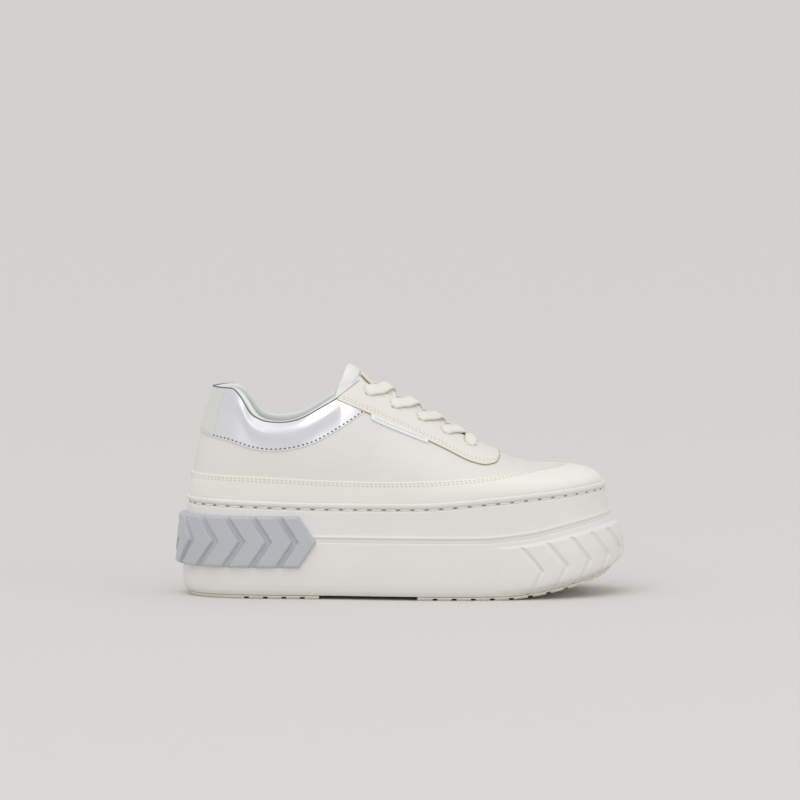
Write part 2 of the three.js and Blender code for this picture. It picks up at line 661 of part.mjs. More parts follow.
export default group;
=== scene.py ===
# %% [markdown]
# # A platform sneaker, piece by piece
# This lesson dresses a right-foot platform sneaker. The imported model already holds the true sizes,
# so it is loaded first and never moved; each visible piece is then made round it in fine mesh code
# and given a finish of its own. All shoe sizes below are in millimetres, and `MM` turns them into
# the metres that Blender works in.

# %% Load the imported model
import math
import bmesh
import bpy
import numpy as np
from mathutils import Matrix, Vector


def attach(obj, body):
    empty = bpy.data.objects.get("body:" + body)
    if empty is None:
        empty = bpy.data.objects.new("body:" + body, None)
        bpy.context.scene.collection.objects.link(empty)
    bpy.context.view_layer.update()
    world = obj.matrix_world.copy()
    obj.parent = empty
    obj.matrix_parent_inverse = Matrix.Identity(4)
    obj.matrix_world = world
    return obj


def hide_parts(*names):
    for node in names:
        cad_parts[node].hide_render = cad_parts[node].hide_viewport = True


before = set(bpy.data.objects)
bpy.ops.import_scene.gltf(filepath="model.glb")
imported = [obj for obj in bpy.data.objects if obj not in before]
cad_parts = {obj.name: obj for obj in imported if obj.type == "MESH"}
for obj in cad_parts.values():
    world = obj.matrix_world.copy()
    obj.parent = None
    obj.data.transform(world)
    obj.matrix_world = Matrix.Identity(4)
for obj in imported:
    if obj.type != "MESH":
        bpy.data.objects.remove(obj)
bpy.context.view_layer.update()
MM = 0.001
print("nodes:", sorted(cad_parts))

# %% [markdown]
# ## Camera
# The shoe is looked at from its outer side, level with it and from well back, so that the lines
# stay nearly parallel. The camera comes first, because every later choice is judged in it.

# %% Camera
VIEW_WIDTH = 501.5 * MM
CAMERA_BACK = 4.0
CAMERA_HEIGHT = 425 * MM
AIM_HEIGHT = 126 * MM
SIDE_PLANE = -45 * MM

camera_data = bpy.data.cameras.new("camera")
camera = bpy.data.objects.new("camera", camera_data)
bpy.context.collection.objects.link(camera)
camera.location = (0, SIDE_PLANE - CAMERA_BACK, CAMERA_HEIGHT)
aim = Vector((0, SIDE_PLANE, AIM_HEIGHT)) - camera.location
camera.rotation_euler = aim.to_track_quat("-Z", "Y").to_euler()
camera_data.lens = camera_data.sensor_width * aim.length / VIEW_WIDTH
bpy.context.scene.camera = camera
print("lens", round(camera_data.lens, 1), "mm")

# %% [markdown]
# ## Node helpers
# Every finish is a small node tree: a colour that drifts a little, a roughness that drifts with it,
# and a bump for the grain. `finish` makes that tree once, so each material below only states what
# its grain is and how strong it is.

# %% Node helpers
def linear(r, g, b):
    """An sRGB colour from 0 to 255 as the linear colour that Blender mixes."""
    values = np.array([r, g, b]) / 255
    low = values / 12.92
    high = ((values + 0.055) / 1.055) ** 2.4
    return (*np.where(values <= 0.04045, low, high), 1.0)


def node(tree, kind, **sockets):
    """A node with its sockets set; a name with _ stands for a socket name with a space."""
    made = tree.nodes.new(kind)
    for name, value in sockets.items():
        made.inputs[name.replace("_", " ")].default_value = value
    return made


def finish(name, colour, roughness, drift=0.03, grain=None, relief=0.1, grain_size=0.4, **sockets):
    """A material whose colour and roughness drift softly and whose bump is a grain.

    drift is how far the colour moves, grain is "hide", "weave", "mould" or None, relief the bump's
    height in mm and grain_size the grain's size in mm. Other sockets go to the shader as they are.
    """
    material = bpy.data.materials.new(name)
    material.use_nodes = True
    tree = material.node_tree
    shader = tree.nodes["Principled BSDF"]
    for socket, value in sockets.items():
        shader.inputs[socket.replace("_", " ")].default_value = value
    place = tree.nodes.new("ShaderNodeTexCoord")
    cloud = node(tree, "ShaderNodeTexNoise", Scale=38.0, Detail=4.0, Roughness=0.55)
    tree.links.new(place.outputs["Object"], cloud.inputs["Vector"])
    tint = tree.nodes.new("ShaderNodeValToRGB")
    low = [c * (1 - drift * (1.0, 1.1, 1.5)[i]) for i, c in enumerate(colour[:3])]
    high = [min(c * (1 + drift * 0.5), 1.0) for c in colour[:3]]
    tint.color_ramp.elements[0].position = 0.3
    tint.color_ramp.elements[0].color = (*low, 1)
    tint.color_ramp.elements[1].position = 0.7
    tint.color_ramp.elements[1].color = (*high, 1)
    tree.links.new(cloud.outputs["Fac"], tint.inputs["Fac"])
    tree.links.new(tint.outputs["Color"], shader.inputs["Base Color"])
    sheen = node(tree, "ShaderNodeMapRange")
    sheen.inputs["To Min"].default_value = roughness - 0.06
    sheen.inputs["To Max"].default_value = roughness + 0.06
    tree.links.new(cloud.outputs["Fac"], sheen.inputs["Value"])
    tree.links.new(sheen.outputs["Result"], shader.inputs["Roughness"])
    if grain:
        bump = node(tree, "ShaderNodeBump", Strength=0.6, Distance=relief * MM)
        height_from(tree, grain, grain_size, place, bump.inputs["Height"])
        tree.links.new(bump.outputs["Normal"], shader.inputs["Normal"])
    return material


def height_from(tree, grain, size, place, socket):
    """Links the height of a grain to a bump: pebbled hide, woven yarn or moulding texture."""
    scale = 1 / (size * MM)
    if grain == "hide":
        cells = node(tree, "ShaderNodeTexVoronoi", Scale=scale, Randomness=1.0)
        cells.feature = "SMOOTH_F1"
        tree.links.new(place.outputs["Object"], cells.inputs["Vector"])
        tree.links.new(cells.outputs["Distance"], socket)
    elif grain == "mould":
        speckle = node(tree, "ShaderNodeTexNoise", Scale=scale, Detail=3.0, Roughness=0.6)
        tree.links.new(place.outputs["Object"], speckle.inputs["Vector"])
        tree.links.new(speckle.outputs["Fac"], socket)
    else:
        # two crossed rows of yarn from the piece's own UV, which is in millimetres
        turn = node(tree, "ShaderNodeMapping")
        turn.inputs["Rotation"].default_value = (0, 0, math.radians(45 if grain == "braid" else 0))
        tree.links.new(place.outputs["UV"], turn.inputs["Vector"])
        rows = []
        for direction in ("X", "Y"):
            yarn = node(tree, "ShaderNodeTexWave", Scale=0.31 / size, Distortion=0.6, Detail=1.0)
            yarn.bands_direction = direction
            tree.links.new(turn.outputs["Vector"], yarn.inputs["Vector"])
            rows.append(yarn)
        cross = tree.nodes.new("ShaderNodeMath")
        cross.operation = "MAXIMUM"
        tree.links.new(rows[0].outputs["Fac"], cross.inputs[0])
        tree.links.new(rows[1].outputs["Fac"], cross.inputs[1])
        tree.links.new(cross.outputs["Value"], socket)


# %% [markdown]
# ## Finishes
# The upper is smooth coated leather in three whites that differ only a little: a cool white for the
# vamp and quarters, a creamier one for the mudguard and a warm one for the lace facing. The collar
# is a mirror-like silver foil. The sole is moulded, so its grain is very fine.

# %% Finishes
LEATHER = finish("coated_leather", linear(229, 228, 224), 0.48, 0.015, "hide", 0.05, 0.55)
MUDGUARD_LEATHER = finish("mudguard_leather", linear(239, 239, 233), 0.44, 0.015, "hide", 0.04, 0.5)
FACING_LEATHER = finish("facing_leather", linear(234, 232, 225), 0.5, 0.02, "hide", 0.08, 0.6)
# tan-brown for raw cut edges, darkened to paint the shade along them; also used for painted shadow lines
CUT_EDGE_AND_SHADE = finish("cut_edge_and_shade", linear(176, 150, 112), 0.8, 0.08, "mould", 0.05, 0.2)
SILVER = finish("silver_foil", linear(234, 235, 240), 0.3, 0.02, "mould", 0.01, 1.5, Metallic=0.6,
                Coat_Weight=0.5, Coat_Roughness=0.08)
# a duller, warmer film for the patch at the heel: a painted reflection of the silver foil there
HEEL_REFLECTION_PATCH = finish("heel_reflection_film", linear(230, 231, 226), 0.36, 0.03, "mould", 0.02, 0.6,
                    Metallic=0.35, Coat_Weight=0.3)
PIPING = finish("collar_piping", linear(118, 126, 124), 0.6, 0.05, "mould", 0.02, 0.3)
LINING = finish("collar_lining", linear(236, 241, 238), 0.95, 0.03, "mould", 0.12, 0.35,
                Sheen_Weight=0.5)
TONGUE_LEATHER = finish("tongue_leather", linear(238, 238, 237), 0.55, 0.015, "hide", 0.05, 0.5)
SOLE_WHITE = finish("sole_rubber", linear(232, 231, 228), 0.42, 0.012, "mould", 0.02, 0.3)
TREAD = finish("tread_rubber", linear(224, 220, 203), 0.6, 0.04, "mould", 0.05, 0.4)
WRAP_GREY = finish("wrap_rubber", linear(189, 193, 199), 0.4, 0.015, "mould", 0.02, 0.3)
LACE_YARN = finish("lace_yarn", linear(241, 239, 231), 0.9, 0.03, "braid", 0.16, 0.55,
                   Sheen_Weight=0.3)
THREAD = finish("cream_thread", linear(222, 214, 190), 0.75, 0.06, "mould", 0.03, 0.15)
WHITE_THREAD = finish("sole_thread", linear(240, 239, 233), 0.7, 0.03, "mould", 0.05, 0.25)
VIOLET_THREAD = finish("violet_thread", linear(88, 82, 106), 0.6, 0.05, "mould", 0.03, 0.15)
# brown for the needle holes: painted shade standing in for the dark of a recessed hole
NEEDLE_HOLE_SHADE = finish("needle_hole_shade", linear(158, 138, 106), 0.9, 0.1)
INSOLE_CLOTH = finish("insole_cloth", linear(226, 230, 226), 0.95, 0.03, "weave", 0.08, 0.5)
TAG_CLOTH = finish("tag_cloth", linear(240, 241, 242), 0.7, 0.01, "weave", 0.05, 0.35)
TAG_MARK = finish("tag_mark", linear(104, 108, 124), 0.7, 0.05)
print(len(bpy.data.materials), "materials")

# %% [markdown]
# ## The last
# A shoe is built round a last, a solid foot shape. Here it is a table with a row for each section
# from the toe tip to the back of the heel. `g` walks round it: 0 at the toe, +1 at the heel along
# the inner side and -1 along the outer side. `t` climbs a section from the sole's rim to the top.

# %% The last's tables
SECTION_COLUMNS = ("x", "lateral", "medial", "centre", "topX", "topZ", "topHalf",
                   "bellyOut", "bellyUp", "crownOut", "crownDown")
SECTIONS = (
    (127, 7, 7, 7, 104, 80.8, 0, 0.5, 4, 14, 0),
    (121.5, -13.5, 27, 7, 101.5, 80.9, 0, 0.8, 5, 17, 0),
    (105, -31, 41, 6, 94, 81.4, 0, 1.2, 7, 22, 0),
    (80, -41.5, 45.6, 5, 77, 84, 0, 1.6, 10, 27, 0),
    (52, -46.5, 46.3, 4, 52, 93.8, 0, 2, 15, 27, 0),
    (22, -47, 42, 2.5, 24, 110.8, 0, 2.2, 20, 26, 3),
    (-8, -44, 36, 1, -4, 127.8, 0, 2.4, 26, 27, 4),
    (-38, -39.5, 32.5, 0, -36, 145.8, 0, 2.6, 32, 26, 7),
    (-68, -36, 32, 0, -58, 150, 24, 2.8, 30, 4, 35),
    (-94, -33.5, 32.2, 0, -80, 150, 27, 2.8, 28, 3, 35),
    (-114, -28, 28, 0, -98, 150, 23, 2.6, 25, 3, 35),
    (-127.5, -16.5, 16.5, 0, -109, 150, 13, 2, 22, 7, 35),
    (-132, 0, 0, 0, -113, 150, 0, 1, 20, 10, 35),
)
# heights by x: rim of the sole, footbed, raised line on the wall, top of the toe bumper, tread
RIM = ((-134, 63.2), (-43, 60.8), (11, 61.2), (61, 65), (126, 71.4), (145, 73.5))
FOOTBED = ((-134, 48), (-60, 46), (40, 42), (90, 45), (130, 52))
MID_LINE = ((-140, 39.4), (48, 39.4), (77, 41.8), (106, 48), (134, 54.5), (145, 56.6))
BUMPER_TOP = ((-140, 32.8), (62, 32.8), (138, 48), (145, 49.3))
GROUND = ((-140, 0), (64, 0), (82, 1.5), (104, 5.8), (125, 11.6), (135, 16.8), (142, 24.5))
SPANS = len(SECTIONS) - 1


def around(name, g):
    """A column of SECTIONS at g, smooth round the toe and the heel."""
    rows = [dict(zip(SECTION_COLUMNS, row)) for row in SECTIONS]
    inner = [row["medial" if name == "y" else name] for row in rows]
    outer = [row["lateral" if name == "y" else name] for row in rows]
    loop = np.array(inner + outer[-2:0:-1], float)
    place = np.asarray(g, float) * SPANS
    row = np.floor(place + 1e-9).astype(int)
    t = place - row
    a, b, c, d = (loop[(row + k) % len(loop)] for k in (-1, 0, 1, 2))
    bend = (2 * a - 5 * b + 4 * c - d) * t**2 + (3 * b - a - 3 * c + d) * t**3
    return 0.5 * (2 * b + (c - a) * t + bend)


def height(rows, x):
    """A smooth height from a table of x and z that never overshoots a row."""
    xs, zs = np.array(rows, float).T
    rate = np.diff(zs) / np.diff(xs)
    slope = np.empty(len(xs))
    slope[0], slope[-1] = rate[0], rate[-1]
    both = rate[:-1] * rate[1:]
    total = np.where(both > 0, rate[:-1] + rate[1:], 1)
    slope[1:-1] = np.where(both > 0, 2 * both / total, 0)
    x = np.asarray(x, float)
    i = np.clip(np.searchsorted(xs, x, "right") - 1, 0, len(xs) - 2)
    span = xs[i + 1] - xs[i]
    t = np.clip((x - xs[i]) / span, 0, 1)
    low = zs[i] * (2 * t**3 - 3 * t**2 + 1) + span * slope[i] * (t**3 - 2 * t**2 + t)
    return low + zs[i + 1] * (3 * t**2 - 2 * t**3) + span * slope[i + 1] * (t**3 - t**2)


# %% Points on the last
def unit(vectors):
    return vectors / np.maximum(np.linalg.norm(vectors, axis=-1, keepdims=True), 1e-9)


def feather(g):
    """The feather line, where upper and sole meet: its place and its outward direction."""
    step = 0.002
    x, y = around("x", g), around("y", g)
    along_x = around("x", g + step) - around("x", g - step)
    along_y = around("y", g + step) - around("y", g - step)
    size = np.hypot(along_x, along_y)
    return x, y, along_y / size, -along_x / size


def last_point(g, t):
    """A point of the last, t from 0 at the rim to 1 at the top of its section."""
    g, t = np.broadcast_arrays(np.asarray(g, float), np.asarray(t, float))
    g = (g + 1) % 2 - 1
    x, y, out_x, out_y = feather(g)
    start = np.stack([x, y, height(RIM, x)], -1)
    half = np.sign(g) * np.maximum(around("topHalf", g), 0)
    top = np.stack([around("topX", g), around("centre", g) + half, around("topZ", g)], -1)
    away = (start - top) * (1, 1, 0)
    out = np.stack([out_x, out_y, np.zeros_like(out_x)], -1)
    up = np.array([0, 0, 1.0])
    belly = start + out * around("bellyOut", g)[..., None] + up * around("bellyUp", g)[..., None]
    crown = top + unit(away) * around("crownOut", g)[..., None]
    crown = crown - up * around("crownDown", g)[..., None]
    t = t[..., None]
    s = 1 - t
    return s**3 * start + 3 * s**2 * t * belly + 3 * s * t**2 * crown + t**3 * top


def last_normal(g, t):
    """The outward direction of the last's surface."""
    e = 0.004
    g, t = np.broadcast_arrays(np.asarray(g, float), np.asarray(t, float))
    up = last_point(g, np.minimum(t + e, 1)) - last_point(g, np.maximum(t - e, 0))
    along = last_point(g + e, t) - last_point(g - e, t)
    normal = unit(np.cross(along, up))
    _, _, out_x, out_y = feather(g)
    facing = normal[..., 0] * out_x + normal[..., 1] * out_y + 0.4 * normal[..., 2]
    normal = normal * np.where(facing < 0, -1, 1)[..., None]
    # along the ridge both sides share one upright normal
    v = np.abs((g + 1) % 2 - 1)
    ridge = last_point(v + 5 * e, 1) - last_point(np.maximum(v - 5 * e, 0), 1)
    upright = unit(np.stack([ridge[..., 2], 0 * v, -ridge[..., 0]], -1))
    upright = upright * np.where(upright[..., 2] < 0, -1, 1)[..., None]
    on_ridge = (t > 1 - e) & (around("topHalf", g) < 0.5)
    return np.where(on_ridge[..., None], upright, normal)


def off_last(g, t, offset):
    """A point at a distance outside the last."""
    g, t, offset = np.broadcast_arrays(np.asarray(g, float), np.asarray(t, float), offset)
    return last_point(g, t) + last_normal(g, t) * offset[..., None]


print("toe tip", last_point(0, 0).round(1), "ridge end", last_point(0.58, 1).round(1))

# %% [markdown]
# ## Edges drawn in side view
# A maker cuts panels to lines drawn on the last. Each line here is a short table of x and height,
# and `climb` finds where a section of the last crosses it. `climb_to_opening` finds where the
# collar or the throat cuts the section off.

# %% Panel lines
COLLAR = ((-104.5, 131.4), (-99, 124.4), (-95, 117.2), (-88.5, 112.5), (-79.5, 110.6),
          (-70, 110.9), (-61.5, 113.2), (-50.5, 119), (-40.2, 124.6))
FACING_CORNER = (-24.5, 136.4)
FACING_EDGE = ((-40.2, 124.6), (-22.5, 117.2), (16, 99.6), (29, 93.4), (46.4, 85.3),
               (57, 83.3), (62.4, 84.8), (64, 89))
FACING_PLAN = {"front": 64, "centre": 4, "half": 42, "round": 9}
THROAT = {"front": 50, "front_half": 8, "back": -30, "back_half": 12.5, "centre": 4}
MUDGUARD = ((-140, 78.2), (-93, 76.9), (-43, 74.7), (22, 74.9), (61, 77.3), (80, 79.1),
            (92, 80.1), (104.6, 80.9))
SILVER_EDGE = ((-135, 106), (-126, 104.2), (-121, 101.6), (-107.4, 98.4), (-93, 94), (-83.4, 92.7),
               (-73.7, 93), (-54.5, 97.6), (-35.2, 108.4), (-20, 118.5))
SCAN = 400


def spline(rows, x):
    """A free-running smooth line through the rows, for outlines that turn."""
    xs, zs = np.array(rows, float).T
    slope = np.gradient(zs, xs)
    i = np.clip(np.searchsorted(xs, x, "right") - 1, 0, len(xs) - 2)
    span = xs[i + 1] - xs[i]
    t = np.clip((np.asarray(x, float) - xs[i]) / span, 0, 1)
    low = zs[i] * (2 * t**3 - 3 * t**2 + 1) + span * slope[i] * (t**3 - 2 * t**2 + t)
    return low + zs[i + 1] * (3 * t**2 - 2 * t**3) + span * slope[i + 1] * (t**3 - t**2)


def first_crossing(g, outside):
    """The lowest t of each section where outside(points) is above 0, or 1 if there is none."""
    g = np.atleast_1d(np.asarray(g, float))
    steps = np.linspace(0, 1, SCAN + 1)
    values = outside(last_point(g[None, :], steps[:, None]))
    crossed = values > 0
    found = crossed.any(0)
    k = np.maximum(crossed.argmax(0), 1)
    column = np.arange(len(g))
    before, after = values[k - 1, column], values[k, column]
    part = np.clip(-before / np.where(after == before, 1, after - before), 0, 1)
    return np.where(found, (k - 1 + part) / SCAN, 1.0)


def climb(g, line):
    """Where each section crosses a line given as x and height."""
    return first_crossing(g, lambda p: p[..., 2] - spline(line, p[..., 0]))


def collar_height(x):
    """The collar line in side view, from the heel tab to the corner of the facing."""
    (x1, z1), (x2, z2) = COLLAR[-1], FACING_CORNER
    slope = z1 + (x - x1) * (z2 - z1) / (x2 - x1)
    line = np.where(x < COLLAR[0][0], COLLAR[0][1], spline(COLLAR, x))
    line = np.where(x > x1, slope, line)
    return np.where(x > x2, 1e3, line)


def throat_half(x):
    """Half the width of the lace opening at x, below 0 in front of it."""
    front, half = THROAT["front"], THROAT["front_half"]
    bow = np.sqrt(np.maximum(half**2 - np.maximum(x - (front - half), 0) ** 2, 0))
    widen = (THROAT["back_half"] - half) * np.clip((front - half - x) / (front - half - THROAT["back"]), 0, 1)
    return np.where((x > front) | (x < THROAT["back"] - 20), -1.0, bow + widen)


def opening(points):
    """Above 0 inside the collar or the throat opening."""
    x, y, z = points[..., 0], points[..., 1], points[..., 2]
    middle = np.interp(x, (THROAT["back"], THROAT["front"] - 8), (0, THROAT["centre"]))
    over_collar = z - collar_height(x)
    in_throat = np.where(z > 80, throat_half(x) - np.abs(y - middle), -1.0)
    return np.maximum(over_collar, in_throat)


def girth_at(side, x):
    """g where the feather line of one side (+1 inner, -1 outer) reaches x."""
    steps = np.linspace(0, 1, 2001)
    return side * np.interp(-x, -around("x", steps), steps)


def find_on_last(side, x, z):
    """g and t of the point of one side at a given x and height."""
    g = girth_at(side, x)
    for _ in range(30):
        steps = np.linspace(0, 1, SCAN + 1)
        section = last_point(g, steps)
        t = np.interp(z, section[:, 2], steps)
        g += side * (last_point(g, t)[0] - x) / 400
    return float(g), float(t)


for name, line in (("mudguard", MUDGUARD), ("silver", SILVER_EDGE)):
    print(name, "edge on the outer side at t", climb([-0.4, -0.7], line).round(2))

# %% [markdown]
# ## Mesh helpers
# Three builders cover nearly every piece. `new_piece` turns points and faces into an object that
# rides on the shoe. `plate` lays a panel of leather or rubber with rounded edges on a surface.
# `tube` sweeps a soft oval section along a path, for laces and piping.

# %% Mesh helpers
def new_piece(name, points, faces, material, slot, stands_for=(), uv=None, weld=None, extra=()):
    """A smooth mesh in the shoe's frame; points are in mm. uv has one pair for each point."""
    mesh = bpy.data.meshes.new(name)
    mesh.from_pydata((np.asarray(points, float) * MM).tolist(), [], faces)
    if uv is not None:
        layer = mesh.uv_layers.new(name="UVMap")
        corners = np.empty(len(mesh.loops), int)
        mesh.loops.foreach_get("vertex_index", corners)
        layer.data.foreach_set("uv", np.asarray(uv, float)[corners].ravel())
    for made in (material, *extra):
        mesh.materials.append(made)
    mesh.polygons.foreach_set("use_smooth", np.ones(len(mesh.polygons), bool))
    piece = bpy.data.objects.new(name, mesh)
    bpy.context.collection.objects.link(piece)
    tidy_mesh(mesh, weld)
    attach(piece, "root")
    if stands_for:
        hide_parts(*stands_for)
    print(f"{name}: {len(mesh.polygons)} faces")
    return piece


def tidy_mesh(mesh, weld):
    """Welds points that lie together, drops the faces that this empties, turns all faces out."""
    work = bmesh.new()
    work.from_mesh(mesh)
    if weld:
        bmesh.ops.remove_doubles(work, verts=work.verts, dist=weld * MM)
        bmesh.ops.dissolve_degenerate(work, edges=work.edges, dist=1e-7)
    bmesh.ops.recalc_face_normals(work, faces=work.faces)
    work.to_mesh(mesh)
    work.free()
    mesh.update()


def grid_faces(rows, columns, closed=False, start=0, flip=False):
    """Quads of a grid of points, row after row; closed joins the last column to the first."""
    i, j = np.meshgrid(np.arange(rows - 1), np.arange(columns if closed else columns - 1), indexing="ij")
    k = (j + 1) % columns
    a, b = i * columns + j, i * columns + k
    c, d = (i + 1) * columns + k, (i + 1) * columns + j
    quads = np.stack([a, b, c, d] if not flip else [a, d, c, b], -1).reshape(-1, 4) + start
    return quads.tolist()


def with_edges(count, length, bevel, thick, sink):
    """Places across a panel, 0 to 1, and the height of each, with a rounded edge at both ends."""
    edge = np.array([0, 0, 0.12, 0.45, 1.0]) * bevel / length
    rise = np.array([-sink, thick - bevel, thick - 0.5 * bevel, thick - 0.12 * bevel, thick])
    inner = np.linspace(edge[-1], 1 - edge[-1], count + 2)[1:-1]
    places = np.concatenate([edge, inner, 1 - edge[::-1]])
    return places, np.concatenate([rise, np.full(count, thick), rise[::-1]])


def plate(name, place, counts, lengths, thick, bevel, material, slot, sink=0.3, **options):
    """A closed panel on a surface: place(a, b, offset) gives its points, a along and b across it.

    counts are the columns and rows between its rounded edges, and lengths its length and width.
    """
    along, along_height = with_edges(counts[0], lengths[0], bevel, thick, sink)
    across, across_height = with_edges(counts[1], lengths[1], bevel, thick, sink)
    a, b = np.meshgrid(along, across)
    top = place(a, b, np.minimum(across_height[:, None], along_height[None, :]))
    under = place(a, b, np.full(a.shape, -sink))
    faces = grid_faces(*a.shape) + grid_faces(*a.shape, start=a.size, flip=True)
    uv = np.stack([a * lengths[0], b * lengths[1]], -1).reshape(-1, 2)
    points = np.concatenate([top.reshape(-1, 3), under.reshape(-1, 3)])
    return new_piece(name, points, faces, material, slot, uv=np.concatenate([uv, uv]), weld=0.002,
                     **options)


def tube(path, aside, widths, thicks, sides=16, square=2.6):
    """Points, faces and uv of a soft oval tube along a path; its width lies towards aside."""
    path = np.asarray(path, float)
    along = unit(np.gradient(path, axis=0))
    aside = np.broadcast_to(aside, path.shape)
    across = unit(aside - along * (aside * along).sum(-1, keepdims=True))
    up = np.cross(across, along)
    angle = np.linspace(0, 2 * np.pi, sides, endpoint=False)
    flat = np.sign(np.cos(angle)) * np.abs(np.cos(angle)) ** (2 / square)
    tall = np.sign(np.sin(angle)) * np.abs(np.sin(angle)) ** (2 / square)
    widths = np.broadcast_to(widths, len(path)) / 2
    thicks = np.broadcast_to(thicks, len(path)) / 2
    rings = (path[:, None] + across[:, None] * (flat * widths[:, None])[..., None]
             + up[:, None] * (tall * thicks[:, None])[..., None])
    run = np.concatenate([[0], np.cumsum(np.linalg.norm(np.diff(path, axis=0), axis=1))])
    girth = angle / (2 * np.pi) * 2.2 * widths.max() * 2
    uv = np.stack(np.broadcast_arrays(girth[None, :], run[:, None]), -1).reshape(-1, 2)
    faces = grid_faces(len(path), sides, closed=True)
    last = (len(path) - 1) * sides
    faces.append(list(range(sides))[::-1])
    faces.append([last + k for k in range(sides)])
    return rings.reshape(-1, 3), faces, uv


def joined(parts):
    """Several (points, faces, uv) as one."""
    points, faces, uvs, start = [], [], [], 0
    for part_points, part_faces, part_uv in parts:
        points.append(part_points)
        faces.extend([[k + start for k in face] for face in part_faces])
        uvs.append(part_uv)
        start += len(part_points)
    return np.concatenate(points), faces, np.concatenate(uvs)


def spaced(points, extras, step):
    """Points every step along a line, with the extras (such as normals) at the same places."""
    points = np.asarray(points)
    run = np.concatenate([[0], np.cumsum(np.linalg.norm(np.diff(points, axis=0), axis=1))])
    count = max(int(round(run[-1] / step)), 1)
    places = (np.arange(count) + 0.5) * run[-1] / count
    pick = lambda values: np.stack([np.interp(places, run, values[:, k]) for k in range(3)], -1)
    return pick(points), [unit(pick(extra)) for extra in extras]


def stitches(name, line, normals, pitch, length, thick, material, slot, sink=0.1, **options):
    """A row of stitches: short round-ended threads laid along a line, as one joined mesh."""
    centres, (up,) = spaced(line, [normals], pitch)
    run = unit(np.gradient(centres, axis=0))
    across = unit(np.cross(run, up))
    sides, rings = 6, np.array([-1, -0.82, -0.4, 0.4, 0.82, 1.0])
    girth = np.array([0.05, 0.65, 1, 1, 0.65, 0.05])
    dip = np.array([-1.0, -0.35, 0, 0, -0.35, -1.0])
    angle = np.arange(sides) * 2 * np.pi / sides
    base = centres - up * sink
    points = (base[:, None, None] + run[:, None, None] * (rings * length / 2)[None, :, None, None]
              + up[:, None, None] * (dip * thick * 0.5)[None, :, None, None]
              + across[:, None, None] * (girth[:, None] * np.cos(angle))[None, :, :, None] * thick / 2
              + up[:, None, None] * (girth[:, None] * np.sin(angle))[None, :, :, None] * thick / 2)
    faces = []
    one = grid_faces(len(rings), sides, closed=True)
    one += [list(range(sides))[::-1], list(range((len(rings) - 1) * sides, len(rings) * sides))]
    for k in range(len(centres)):
        start = k * len(rings) * sides
        faces.extend([[start + c for c in face] for face in one])
    return new_piece(name, points.reshape(-1, 3), faces, material, slot, **options)

# %% [markdown]
# ## Places round the shoe
# Columns of points are spread evenly along the feather line, closer where a detail needs them.
# `top_of` says where the collar or the throat ends a section, and `on_upper` adds the soft forms
# of the leather itself: the padded swell under the collar and two shallow flex creases in front of
# the lacing.

# %% Places round the shoe
def even(start, end, spacing):
    """Values of g from start to end, evenly spaced along the feather line."""
    g = np.linspace(start, end, 4001)
    x, y, _, _ = feather(g)
    run = np.concatenate([[0], np.cumsum(np.hypot(np.diff(x), np.diff(y)))])
    count = max(int(round(run[-1] / spacing)), 2)
    return np.interp(np.linspace(0, run[-1], count + 1), run, g)


def top_of(g):
    return first_crossing(g, opening)


def fade(x, start, end):
    """0 before start, 1 past end, smooth between."""
    t = np.clip((np.asarray(x, float) - start) / (end - start), 0, 1)
    return t * t * (3 - 2 * t)


COLLAR_SWELL = 1.5
CREASES = ((71, 0.55, 2.4), (80, 0.35, 2.0))  # x on the ridge, depth and width


def relief(points):
    """How far the leather stands out of the last: the padded collar and the flex creases."""
    x, y, z = points[..., 0], points[..., 1], points[..., 2]
    below = collar_height(x) - z
    swell = COLLAR_SWELL * np.exp(-(((below - 7) / 5.0) ** 2)) * (1 - fade(x, -48, -34)) * fade(x, -112, -92)
    for place, depth, width in CREASES:
        lean = place + 0.004 * (y - 4) ** 2
        trough = np.exp(-(((x - lean) / width) ** 2)) - 0.4 * np.exp(-(((x - lean - 2 * width) / width) ** 2))
        swell = swell - depth * trough * fade(z, 76, 84)
    return swell


def on_upper(g, t, offset):
    """A point at a height above the leather of the upper."""
    return off_last(g, t, np.asarray(offset) + relief(last_point(g, t)))


def down_from(g, t, distance):
    """t at a distance below a place, measured along the section."""
    step = np.linalg.norm(last_point(g, t) - last_point(g, np.maximum(t - 0.02, 0)), axis=-1) / 0.02
    return t - distance / step


print("columns round the shoe at 1 mm:", len(even(-1, 1, 1)))

# %% [markdown]
# ## Sole wall
# The thick white wall is one moulding: a rounded bead at the rim with a stitch groove under it,
# a thin raised line half way up, and a bumper that swells out round the toe with arrow grooves.
# All of it is a height field on the wall, so one function says how far each point stands out.

# %% Sole wall
WALL_PART = (0, 0.05, 0.14, 0.3, 0.5, 0.7, 1)
WALL_HEEL = (2.6, 4.8, 5.6, 5.4, 4.6, 3.4, 2.4)
WALL_SIDE = (3.6, 5.2, 5.8, 5.6, 4.8, 4, 3)
WALL_TOE = (8.4, 10.4, 12, 11.6, 9, 5.4, 3)
TREAD_THICK = 2.1
GAP = 0.3
BUMPER = {"start": 58, "full": 92, "proud": 3.2, "bevel": 1.1, "round": 5}
TOE_CHEVRONS = {"first": 86.5, "pitch": 16.7, "count": 5, "back": (7.6, 11.9), "width": 3.4, "depth": 1.0}
WRAP = {"tip": -52.1, "corner": 11, "top": 52.2, "bottom": 19.8, "side": 2.3, "back": 4.9}
HALF_WAY = 36
STITCH_DROP = 4.3


def wall_offset(g, part):
    _, _, out_x, _ = feather(g)
    toe, heel = np.maximum(out_x, 0) ** 2, np.maximum(-out_x, 0) ** 2
    tables = [height(tuple(zip(WALL_PART, row)), part) for row in (WALL_TOE, WALL_HEEL, WALL_SIDE)]
    return toe * tables[0] + heel * tables[1] + (1 - toe - heel) * tables[2]


def underside(g):
    x, _, out_x, _ = feather(g)
    return height(GROUND, x + out_x * wall_offset(g, 0))


